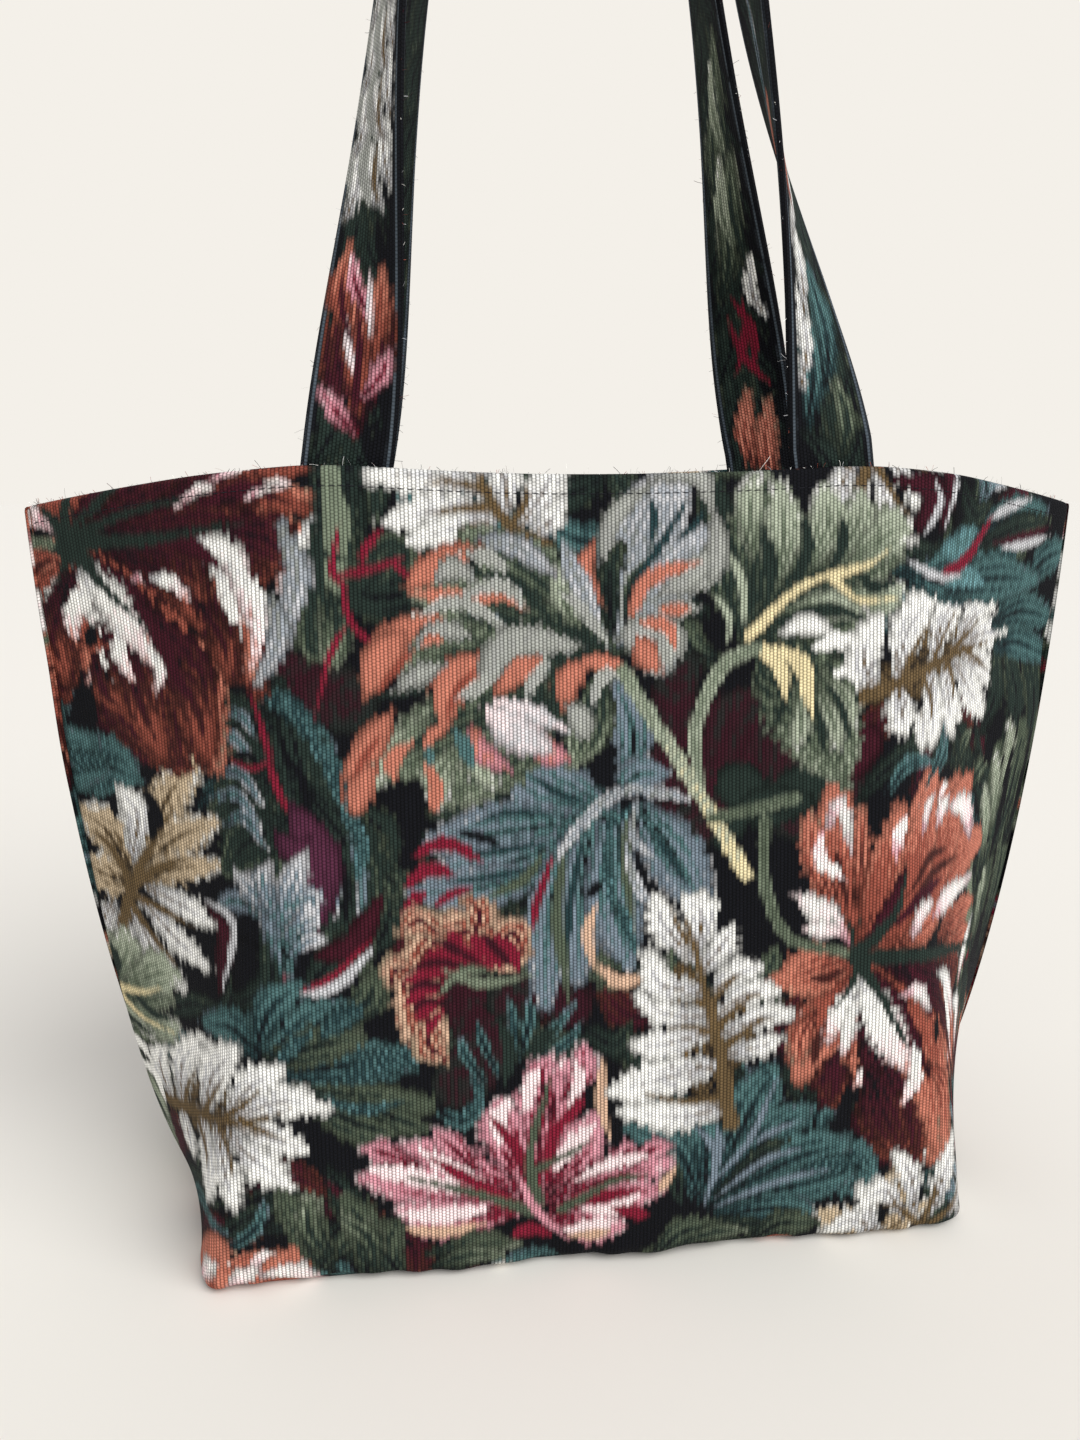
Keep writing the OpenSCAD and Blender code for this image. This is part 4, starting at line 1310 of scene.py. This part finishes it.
# Shader maths
@dataclass(frozen=True)
class Wire:
    """A socket whose arithmetic adds Math nodes."""

    tree: bpy.types.NodeTree
    socket: bpy.types.NodeSocket

    @classmethod
    def node(cls, tree: bpy.types.NodeTree, kind: str, settings: dict, inputs: dict,
             output: int | str = 0) -> "Wire":
        """Adds one node.

        Args:
            tree: Node tree to add to.
            kind: Type of the node.
            settings: Properties set first.
            inputs: Values or wires by socket name or number.
            output: Socket to give back.

        Returns:
            The chosen output.
        """
        node = tree.nodes.new(kind)
        for name, value in settings.items():
            setattr(node, name, value)
        cls.feed(node, inputs)
        return cls(tree, node.outputs[output])

    @classmethod
    def feed(cls, node: bpy.types.Node, inputs: dict) -> None:
        """Sets or links the sockets of a node.

        Args:
            node: Node to feed.
            inputs: Values or wires by socket name or number.
        """
        for name, value in inputs.items():
            if isinstance(value, cls):
                value.tree.links.new(value.socket, node.inputs[name])
            else:
                node.inputs[name].default_value = value

    def math(self, operation: str, *values: "Wire | float") -> "Wire":
        """One Math node on this wire and further values."""
        inputs = dict(enumerate((self, *values)))
        return self.node(self.tree, "ShaderNodeMath", {"operation": operation}, inputs)

    def __add__(self, other: "Wire | float") -> "Wire":
        """Sum."""
        return self.math("ADD", other)

    def __sub__(self, other: "Wire | float") -> "Wire":
        """Difference."""
        return self.math("SUBTRACT", other)

    def __mul__(self, other: "Wire | float") -> "Wire":
        """Product."""
        return self.math("MULTIPLY", other)

    def __rsub__(self, other: float) -> "Wire":
        """Reflected difference."""
        return self.node(self.tree, "ShaderNodeMath", {"operation": "SUBTRACT"}, {0: other, 1: self})

    __radd__ = __add__
    __rmul__ = __mul__


def new_material(name: str) -> tuple[bpy.types.Material, bpy.types.Node, Callable[..., Wire]]:
    """A node material.

    Args:
        name: Name of the material.

    Returns:
        The material, its Principled shader and the method that adds its other nodes.
    """
    material = bpy.data.materials.new(name)
    material.use_nodes = True
    tree = material.node_tree
    return material, tree.nodes["Principled BSDF"], partial(Wire.node, tree)


@dataclass(frozen=True)
class WovenFinish:
    """Ribbed cloth whose cells carry their own colour, darkened between ribs and picks partly by dark warp
    and partly by painted shade.
    """

    name: str
    roughness: float = 0.82
    gloss: float = 0.12
    relief: float = 0.0005
    relief_strength: float = 0.9
    # Darkening between ribs and between picks: partly dark warp, partly painted shade in the grooves
    warp_and_groove_shade: float = 0.7
    warp_and_pick_gap_shade: float = 0.45
    fleck: float = 0.22
    fleck_scale: float = 1400
    fleck_detail: float = 2.0
    lift: float = 1.44
    rib_height: float = 0.5
    pick_height: float = 0.35
    fleck_height: float = 0.2
    emboss: float = 1.2

    def make(self) -> bpy.types.Material:
        """Builds the material.

        Returns:
            The material of the tapestry.
        """
        material, shader, node = new_material(self.name)
        uv = node("ShaderNodeUVMap", {"uv_map": "Cells"}, {})
        x = node("ShaderNodeSeparateXYZ", {}, {0: uv}, "X")
        y = node("ShaderNodeSeparateXYZ", {}, {0: uv}, "Y")
        odd = x.math("FLOOR").math("MODULO", 2)
        rib_place = x.math("FRACT") * 2 - 1
        pick_place = (y + odd * 0.5).math("FRACT") * 2 - 1
        rib = 1 - rib_place * rib_place
        pick = 1 - pick_place * pick_place
        spot = node("ShaderNodeTexCoord", {}, {}, "Object")
        noise = node("ShaderNodeTexNoise", {},
                     {"Vector": spot, "Scale": self.fleck_scale, "Detail": self.fleck_detail})
        # Cell colour darkened between ribs and picks (dark warp and painted shade), with random flecks and
        # an even lift
        depth = (1 - self.warp_and_groove_shade + rib * self.warp_and_groove_shade) * (1 - self.warp_and_pick_gap_shade + pick * self.warp_and_pick_gap_shade)
        depth = depth * (1 - self.fleck + noise * (2 * self.fleck)) * self.lift
        weave = node("ShaderNodeAttribute", {"attribute_name": "weave"}, {}, "Color")
        tint = node("ShaderNodeVectorMath", {"operation": "SCALE"}, {0: weave, "Scale": depth})
        light = node("ShaderNodeRGBToBW", {}, {0: weave})
        height = rib.math("SQRT") * self.rib_height + pick * self.pick_height + noise * self.fleck_height
        height = height + light.math("SQRT") * self.emboss
        bump = node("ShaderNodeBump", {},
                    {"Strength": self.relief_strength, "Distance": self.relief, "Height": height})
        Wire.feed(shader, {"Base Color": tint, "Normal": bump, "Roughness": self.roughness,
                           "Specular IOR Level": self.gloss})
        return material


@dataclass(frozen=True)
class CottonFinish:
    """Plain dyed cotton or thread, with a fine weave from Object coordinates."""

    name: str
    colour: tuple[int, int, int]
    roughness: float = 0.85
    gloss: float = 0.3
    thread_scale: float = 1500
    cloud_scale: float = 220
    cloud_detail: float = 4.0
    cloud_low: float = 0.7
    cloud_range: float = 0.6
    relief: float = 0.0003
    relief_strength: float = 0.6

    def make(self) -> bpy.types.Material:
        """Builds the material.

        Returns:
            The material of the cotton or thread.
        """
        material, shader, node = new_material(self.name)
        spot = node("ShaderNodeTexCoord", {}, {}, "Object")
        threads = node("ShaderNodeTexWave", {"bands_direction": "DIAGONAL"},
                       {"Vector": spot, "Scale": self.thread_scale}, 1)
        noise = node("ShaderNodeTexNoise", {},
                     {"Vector": spot, "Scale": self.cloud_scale, "Detail": self.cloud_detail})
        tint = node("ShaderNodeVectorMath", {"operation": "SCALE"},
                    {0: tuple(linear(self.colour)), "Scale": self.cloud_low + noise * self.cloud_range})
        bump = node("ShaderNodeBump", {}, {"Strength": self.relief_strength, "Distance": self.relief,
                                           "Height": threads * 0.5 + noise * 0.5})
        Wire.feed(shader, {"Base Color": tint, "Normal": bump, "Roughness": self.roughness,
                           "Specular IOR Level": self.gloss})
        return material


# Pieces of cloth
def dress(piece: bpy.types.Object, material: bpy.types.Material) -> bpy.types.Object:
    """Gives a piece its finish and its body.

    Args:
        piece: Piece to dress.
        material: Its finish.

    Returns:
        The same piece.
    """
    piece.data.materials.append(material)
    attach(piece, "root")
    LOG.info("%s: %d faces", piece.name, len(piece.data.polygons))
    return piece


@dataclass
class Panel:
    """One tapestry panel: wall, half of the base and the turned-in hem."""

    form: BagForm
    side: Side
    ornament: Ornament
    columns: int = 314
    rows: int = 245
    base_row: float = 2.5
    base_cell: float = 2.0
    base_edge: float = 0.5
    hem_r: float = 1.7
    hem_rows: int = 15
    hem_d: float = 12

    def hem(self, rim: Array, normal: Array, step: float) -> Array:
        """Rows of points over the rim and down its inside.

        Args:
            rim: Points along the rim.
            normal: Outward normals there.
            step: Cloth length of a row.

        Returns:
            Rows by columns by 3.
        """
        level = unit(normal * (1, 1, 0))
        rows = []
        for k in range(1, self.hem_rows + 1):
            angle = min(k * step / self.hem_r, math.pi)
            drop = max(k * step - math.pi * self.hem_r, 0)
            lift = self.hem_r * math.sin(angle) - drop
            rows.append(rim - level * self.hem_r * (1 - math.cos(angle)) + np.array([0, 0, lift]))
        return np.stack(rows)

    def base(self, edge: Array, u: Array, v: Array, on_base: Array) -> Array:
        """Points of the half base, from the front edge to the seam under the middle.

        Args:
            edge: Lowest row of the wall.
            u: Columns of the wall.
            v: Distances from the front edge.
            on_base: Columns that go on under the base.

        Returns:
            Rows by columns by 3.
        """
        ring = edge[u >= 0]
        ring = ring[np.argsort(ring[:, 1])]
        front_y = edge[len(u) // 2, 1]
        rows = []
        for distance in v:
            y = front_y * (1 - distance / v[-1])
            limit = np.interp(y, ring[:, 1], np.maximum.accumulate(ring[:, 0]))
            x = np.clip(edge[on_base, 0] / edge[on_base, 0].max() * limit, -limit, limit)
            inner = np.minimum(limit - np.abs(x), distance)
            z = edge[:, 2].mean() * np.clip(1 - inner / self.form.fold_r, 0, 1) ** 2
            rows.append(np.stack([x, np.full_like(x, y), z], -1))
        return np.stack(rows)

    def build(self, material: bpy.types.Material) -> bpy.types.Object:
        """Builds and dresses the panel.

        Args:
            material: Finish of the tapestry.

        Returns:
            The panel.
        """
        form = self.form
        u = np.linspace(-form.half_cut, form.half_cut, self.columns + 1)
        v = np.linspace(0, form.height - self.hem_r, self.rows + 1)
        step = v[1] - v[0]
        wall = form.wall(u, v)
        hem = self.hem(wall[-1], normals_of(wall)[-1], step)
        base_v = np.arange(1, round(form.base_d / 2 / self.base_row) + 1) * self.base_row
        base_v = base_v * (form.base_d / 2) / base_v[-1]
        on_base = np.flatnonzero(np.abs(u) <= form.base_w / 2 + self.base_edge)
        base = self.base(wall[0], u, base_v, on_base)
        rows_v = np.concatenate([-base_v[::-1], v, v[-1] + step * np.arange(1, len(hem) + 1)])
        tint = self.ornament.card(u, rows_v, self.side).colours()
        cloth = Cloth()
        wall_ids = cloth.add_points(self.side.turn(np.concatenate([wall, hem])))
        base_ids = cloth.add_points(self.side.turn(base))
        cells_u = np.arange(len(u))
        cells_v = np.arange(len(wall) + len(hem))
        cloth.add_grid(wall_ids, cells_u, cells_v, tint[len(base_v):])
        flap = np.concatenate([base_ids[::-1], wall_ids[:1, on_base]])
        flap_v = -self.base_cell * np.arange(len(base_v), -1, -1)
        cloth.add_grid(flap, cells_u[on_base], flap_v, tint[: len(base_v), on_base[:-1]])
        piece = dress(cloth.make(f"{self.side.label}_tapestry"), material)
        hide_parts(f"{self.side.label}_panel")
        flat_h = form.height + form.base_d / 2 + self.hem_d + math.pi * self.hem_r
        notch = (form.half_cut * 2 - form.base_w) * form.base_d / 2
        (2 * form.half_cut * flat_h - notch) * MM * MM
        return piece


@dataclass
class Lining:
    """Half of the lining: a plain cotton shell inside a panel."""

    form: BagForm
    side: Side
    columns: int = 110
    rows: int = 76
    floor_rows: int = 12
    inset: float = 4.6
    floor_up: float = 2.2
    low_set: float = 4
    top_set: float = 1.0
    strap_room: float = 3.0
    room_beside: float = 4
    room_fade: float = 20
    room_below: float = 50

    def over_straps(self, u: Array) -> Array:
        """How far the lining stands off over the sewn-in strap ends, 0 to 1."""
        past = np.abs(np.abs(u) - self.form.leg_spacing / 2) - self.form.strap_w / 2
        return 0.5 + 0.5 * np.cos(math.pi * np.clip((past - self.room_beside) / self.room_fade, 0, 1))

    def build(self, material: bpy.types.Material) -> bpy.types.Object:
        """Builds and dresses the half lining.

        Args:
            material: Finish of the lining.

        Returns:
            The half lining.
        """
        form = self.form
        u = np.linspace(-form.half_cut, form.half_cut, self.columns + 1)
        v = np.linspace(self.low_set, form.height - self.top_set, self.rows + 1)
        wall = form.wall(u, v)
        upper = np.clip((v - form.height + self.room_below) / self.room_fade, 0, 1)[:, None]
        depth = self.inset + self.strap_room * self.over_straps(u)[None] * upper
        wall = wall - unit(normals_of(wall) * (1, 1, 0)) * depth[..., None]
        wall[..., 1] = np.minimum(wall[..., 1], 0)
        shares = np.linspace(0, 1, self.floor_rows + 1)[:-1]
        floor = np.stack([wall[0] * (1, share, 1) for share in shares])
        floor[..., 2] = self.floor_up
        cloth = Cloth()
        ids = cloth.add_points(self.side.turn(np.concatenate([floor, wall])))
        colours = np.zeros((ids.shape[0] - 1, ids.shape[1] - 1, 3))
        cloth.add_grid(ids[:, ::-1], np.arange(ids.shape[1]), np.arange(ids.shape[0]), colours)
        piece = dress(cloth.make(f"{self.side.label}_lining_cloth"), material)
        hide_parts(f"{self.side.label}_lining")
        return piece


@dataclass
class Strap:
    """One shoulder strap: a folded band of the same cloth."""

    form: BagForm
    side: Side
    ornament: Ornament
    rim_y: float = -39.8
    top_y: float = -20.0
    twist: float = math.pi / 2
    twist_ease: float = 1.9
    slack: float = math.radians(15)
    sway: float = 0.0
    leg_flat: float = 8
    cell: float = 1.25
    across: int = 23
    edge_cells: int = 3

    @property
    def arc(self) -> float:
        """Length of half of the arch."""
        return self.form.arch_r * (math.pi / 2 - self.form.lean)

    @property
    def leg(self) -> float:
        """Length from the arch to the rim."""
        return math.sqrt(self.form.arch_reach**2 - self.form.arch_r**2)

    @property
    def half_length(self) -> float:
        """Length from the top of the arch to a sewn end."""
        return self.arc + self.leg + self.form.tuck

    def frame_at(self, s: Array) -> tuple[Array, Array, Array]:
        """Centre line and directions of the strap.

        Args:
            s: Distances along the strap from the top of its arch, negative on the left.

        Returns:
            Centre points, across directions and face normals.
        """
        form, arc, leg = self.form, self.arc, self.leg
        away = np.abs(s)
        angle = np.minimum(away, arc) / form.arch_r
        down = np.clip(away - arc, 0, None)
        out = np.stack([np.sin(angle), np.zeros_like(s), np.cos(angle)], -1)
        along = np.stack([np.cos(angle), np.zeros_like(s), -np.sin(angle)], -1)
        centre = out * form.arch_r + along * down[:, None] + (0, 0, form.height + form.arch_up)
        up = np.clip(leg - down, 0, leg)
        turned = np.clip((up - self.leg_flat) / (leg - self.leg_flat), 0, 1)
        slack = np.where(s * self.side.value[1] < 0, self.slack, 0) * np.minimum(away / arc, 1)
        twist = (self.twist - slack) * (1 - (1 - turned) ** self.twist_ease)
        ease = np.clip(up / leg, 0, 1)
        ease = ease * ease * (3 - 2 * ease)
        centre[:, 1] = self.rim_y + (self.top_y - self.rim_y) * ease
        mirror = np.where(s < 0, -1.0, 1.0)[:, None] * (1, 0, 0) + (0, 1, 1)
        across = out * np.cos(twist)[:, None] + np.array([0, 1, 0]) * np.sin(twist)[:, None]
        centre, across = centre * mirror, across * mirror
        centre[:, 0] += self.sway * ease
        return centre, across, unit(np.cross(across, np.gradient(centre, axis=0)))

    def build(self, material: bpy.types.Material) -> bpy.types.Object:
        """Builds and dresses the strap.

        Args:
            material: Finish of the tapestry.

        Returns:
            The strap.
        """
        form = self.form
        rows = round(2 * self.half_length / self.cell)
        s = np.linspace(-self.half_length, self.half_length, rows + 1)
        centre, across, normal = self.frame_at(s)
        r = form.strap_t / 2
        flat = np.linspace(-1, 1, self.across + 1) * (form.strap_w / 2 - r)
        half = np.linspace(-math.pi / 2, math.pi / 2, self.edge_cells + 1)[1:-1]
        round_w, round_h = r * np.cos(half), r * np.sin(half)
        face = np.full(len(flat), r)
        w = np.concatenate([flat, flat[-1] + round_w, flat[::-1], flat[0] - round_w, flat[:1]])
        h = np.concatenate([-face, round_h, face, -round_h, [-r]])
        points = centre[:, None] + across[:, None] * w[:, None] + normal[:, None] * h[:, None]
        around = np.concatenate([[0], np.cumsum(np.hypot(np.diff(w), np.diff(h)))])
        card = self.ornament.strap_card(around, s, self.side)
        cloth = Cloth()
        ids = cloth.add_points(self.side.turn(points[:, :-1]))
        ids = np.concatenate([ids, ids[:, :1]], axis=1)
        cloth.add_grid(ids, np.arange(len(around)), np.arange(len(s)), card.colours())
        piece = cloth.make(f"{self.side.label}_shoulder_strap")
        dress(piece, material)
        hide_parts(f"{self.side.label}_strap")
        return piece


# Thread
@dataclass
class Topstitch:
    """Row of stitches under the rim, one modelled stitch laid out many times."""

    form: BagForm
    side: Side
    below: float = 7
    row_gap: float = 2
    seam_room: float = 6
    pitch: float = 3.4
    length: float = 2.6
    thickness: float = 0.34
    lift: float = 0.05

    def stitch(self) -> tuple[Array, list]:
        """Models one stitch about its middle, lying along X.

        Returns:
            Its points in millimetres and its faces.
        """
        bpy.ops.object.select_all(action="DESELECT")
        bpy.ops.mesh.primitive_uv_sphere_add(segments=8, ring_count=6, radius=0.5)
        model = bpy.context.object
        bpy.ops.transform.resize(value=(self.length, self.thickness, self.thickness))
        bpy.ops.object.transform_apply(location=False, rotation=False, scale=True)
        points = np.array([vertex.co for vertex in model.data.vertices])
        faces = [list(polygon.vertices) for polygon in model.data.polygons]
        bpy.ops.object.delete()
        return points, faces

    def build(self, material: bpy.types.Material) -> bpy.types.Object:
        """Lays the stitches along the rim and dresses them.

        Args:
            material: Finish of the thread.

        Returns:
            The row of stitches.
        """
        form = self.form
        shape, model_faces = self.stitch()
        half = form.half_cut - self.seam_room
        u = np.arange(-half, half, self.pitch)
        wall = form.wall(u, form.height - self.below - np.array([self.row_gap, 0]))
        along = unit(np.gradient(wall[1], axis=0))
        out = normals_of(wall)[1]
        up = np.cross(out, along)
        points = (wall[1] + out * self.lift)[:, None]
        for k, direction in enumerate((along, out, up)):
            points = points + direction[:, None] * shape[:, k : k + 1]
        faces = [[k * len(shape) + i for i in face] for k in range(len(u)) for face in model_faces]
        piece = new_piece(f"{self.side.label}_topstitch", self.side.turn(points.reshape(-1, 3)), faces)
        return dress(piece, material)


@dataclass
class LooseFibres:
    """Fine fibres that stand off the rim and the edges of a strap."""

    form: BagForm
    side: Side
    strap: Strap
    seed: int = 21
    rim_count: int = 320
    strap_count: int = 420
    rim_room: float = 2
    rim_rows: tuple[float, float] = (4, 1.7)
    rim_in: float = 1.2
    rim_lean: float = 0.5
    strap_room: float = 4
    edge_in: float = 0.6
    length: float = 3.2
    shortest: float = 0.25
    spread: float = 0.45
    curl: float = 0.35
    thickness: float = 0.16
    joints: tuple[float, ...] = (0, 0.35, 0.7, 1)
    cell_u: tuple[float, float] = (0.45, 0.55)
    cell_v: float = 0.1
    yarns: tuple[Yarn, ...] = (NAVY, CREAM, MIST, PINE, RUST, NAVY, WINE)

    def roots(self, rng: np.random.Generator) -> tuple[Array, Array]:
        """Where the fibres start and which way they lean.

        Args:
            rng: Source of the places.

        Returns:
            Start points and outward directions.
        """
        form = self.form
        end = form.half_cut - self.rim_room
        u = np.sort(rng.uniform(-end, end, self.rim_count))
        wall = form.wall(u, form.height - np.array(self.rim_rows))
        level = unit(normals_of(wall)[1] * (1, 1, 0))
        rim = wall[1] - level * self.rim_in + (0, 0, self.rim_in)
        rise = level * self.rim_lean + (0, 0, 1)
        reach = self.strap.half_length - form.tuck - self.strap_room
        centre, across, _ = self.strap.frame_at(np.sort(rng.uniform(-1, 1, self.strap_count)) * reach)
        edge = np.where(rng.random(self.strap_count) < 0.5, -1.0, 1.0)[:, None] * across
        edge_at = centre + edge * (form.strap_w / 2 - self.edge_in)
        return np.concatenate([rim, edge_at]), np.concatenate([rise, edge])

    def build(self, material: bpy.types.Material) -> bpy.types.Object:
        """Builds and dresses the fibres.

        Args:
            material: Finish of the tapestry.

        Returns:
            The fibres of one side.
        """
        rng = np.random.default_rng(self.seed)
        start, lean = self.roots(rng)
        count = len(start)
        lean = unit(lean + rng.normal(0, self.spread, (count, 3)))
        length = self.length * rng.uniform(self.shortest, 1, (count, 1)) ** 2
        bend = rng.normal(0, self.curl, (count, 3)) * length
        width = unit(np.cross(lean, rng.normal(0, 1, (count, 3)))) * self.thickness / 2
        colours = np.array([linear(yarn.value) for yarn in self.yarns])
        colours = colours[rng.integers(0, len(self.yarns), count)]
        cells_u, cells_v = np.array(self.cell_u), np.arange(len(self.joints)) * self.cell_v
        cloth = Cloth()
        for k in range(count):
            line = [start[k] + lean[k] * length[k] * share + bend[k] * share**2 for share in self.joints]
            ids = cloth.add_points(self.side.turn(np.array([[p - width[k], p + width[k]] for p in line])))
            cloth.add_grid(ids, cells_u, cells_v, np.tile(colours[k], (len(line) - 1, 1, 1)))
        return dress(cloth.make(f"{self.side.label}_loose_fibres"), material)


# Studio
@dataclass
class Studio:
    """Camera at the photograph's view, pale floor and soft light."""

    camera_at: tuple[float, float, float] = (-0.0715, -0.4358, 0.3024)
    yaw: float = math.radians(7.33)
    pitch: float = math.radians(12.71)
    lens: float = 27.05
    sensor: float = 36
    nearest: float = 0.01
    floor_size: float = 24.0
    floor_colour: tuple[int, int, int] = (236, 232, 224)
    floor_roughness: float = 0.9
    wall_colour: tuple[int, int, int] = (244, 240, 233)
    world_colour: tuple[int, int, int] = (244, 244, 246)
    world_light: float = 0.68
    sun_power: float = 2.2
    sun_angle: float = math.radians(50)
    sun_turn: tuple[float, float, float] = (math.radians(46), 0, math.radians(40))

    def build(self) -> None:
        """Adds the camera, the floor, the lamp and the world."""
        self.camera()
        self.floor()
        self.sun()
        self.world()
        bpy.context.scene.view_settings.view_transform = "Standard"

    def camera(self) -> None:
        """Camera at the photograph's view."""
        data = bpy.data.cameras.new("camera")
        data.sensor_fit = "VERTICAL"
        data.sensor_height = self.sensor
        data.lens = self.lens
        data.clip_start = self.nearest
        camera = bpy.data.objects.new("camera", data)
        camera.location = self.camera_at
        camera.rotation_euler = (math.pi / 2 - self.pitch, 0, -self.yaw)
        bpy.context.collection.objects.link(camera)
        bpy.context.scene.camera = camera

    def floor(self) -> None:
        """Pale floor under the bag."""
        bpy.ops.object.select_all(action="DESELECT")
        bpy.ops.mesh.primitive_plane_add(size=self.floor_size)
        floor = bpy.context.object
        floor.name = "floor"
        material, shader, _ = new_material("pale_floor")
        Wire.feed(shader, {"Base Color": (*linear(self.floor_colour), 1), "Roughness": self.floor_roughness})
        floor.data.materials.append(material)

    def sun(self) -> None:
        """A broad soft key light from the front and the right."""
        data = bpy.data.lights.new("key_sun", "SUN")
        data.energy = self.sun_power
        data.angle = self.sun_angle
        lamp = bpy.data.objects.new("key_sun", data)
        lamp.rotation_euler = self.sun_turn
        bpy.context.collection.objects.link(lamp)

    def world(self) -> None:
        """Even light all round, seen by the camera as a pale wall."""
        world = bpy.data.worlds.new("world")
        world.use_nodes = True
        tree = world.node_tree
        seen = Wire.node(tree, "ShaderNodeLightPath", {}, {}, "Is Camera Ray")
        light, wall = (*linear(self.world_colour), 1), (*linear(self.wall_colour), 1)
        colour = Wire.node(tree, "ShaderNodeMix", {"data_type": "RGBA"}, {0: seen, 6: light, 7: wall}, 2)
        strength = self.world_light + seen * (1 - self.world_light)
        Wire.feed(tree.nodes["Background"], {"Color": colour, "Strength": strength})
        bpy.context.scene.world = world


# Radius of each strap's arch and its sway to the right, in millimetres
STRAP_HANG = {Side.FRONT: (58.0, -6.5), Side.BACK: (51.5, 4.5)}
LINING_COLOUR = (34, 33, 40)
THREAD_COLOUR = (24, 24, 32)


def main() -> None:
    """Builds the bag and its studio, and reports each piece."""
    logging.basicConfig(level=logging.INFO, format="%(message)s")
    form = BagForm()
    ornament = Ornament()
    tapestry = WovenFinish("tapestry_cloth").make()
    cotton = CottonFinish("lining_cotton", LINING_COLOUR).make()
    thread = CottonFinish("navy_thread", THREAD_COLOUR).make()
    for side in Side:
        Panel(form, side, ornament).build(tapestry)
        Lining(form, side).build(cotton)
        arch_r, sway = STRAP_HANG[side]
        strap = Strap(replace(form, arch_r=arch_r), side, ornament, sway=sway)
        strap.build(tapestry)
        LooseFibres(form, side, strap).build(tapestry)
        Topstitch(form, side).build(thread)
    Studio().build()


if __name__ == "__main__":
    main()
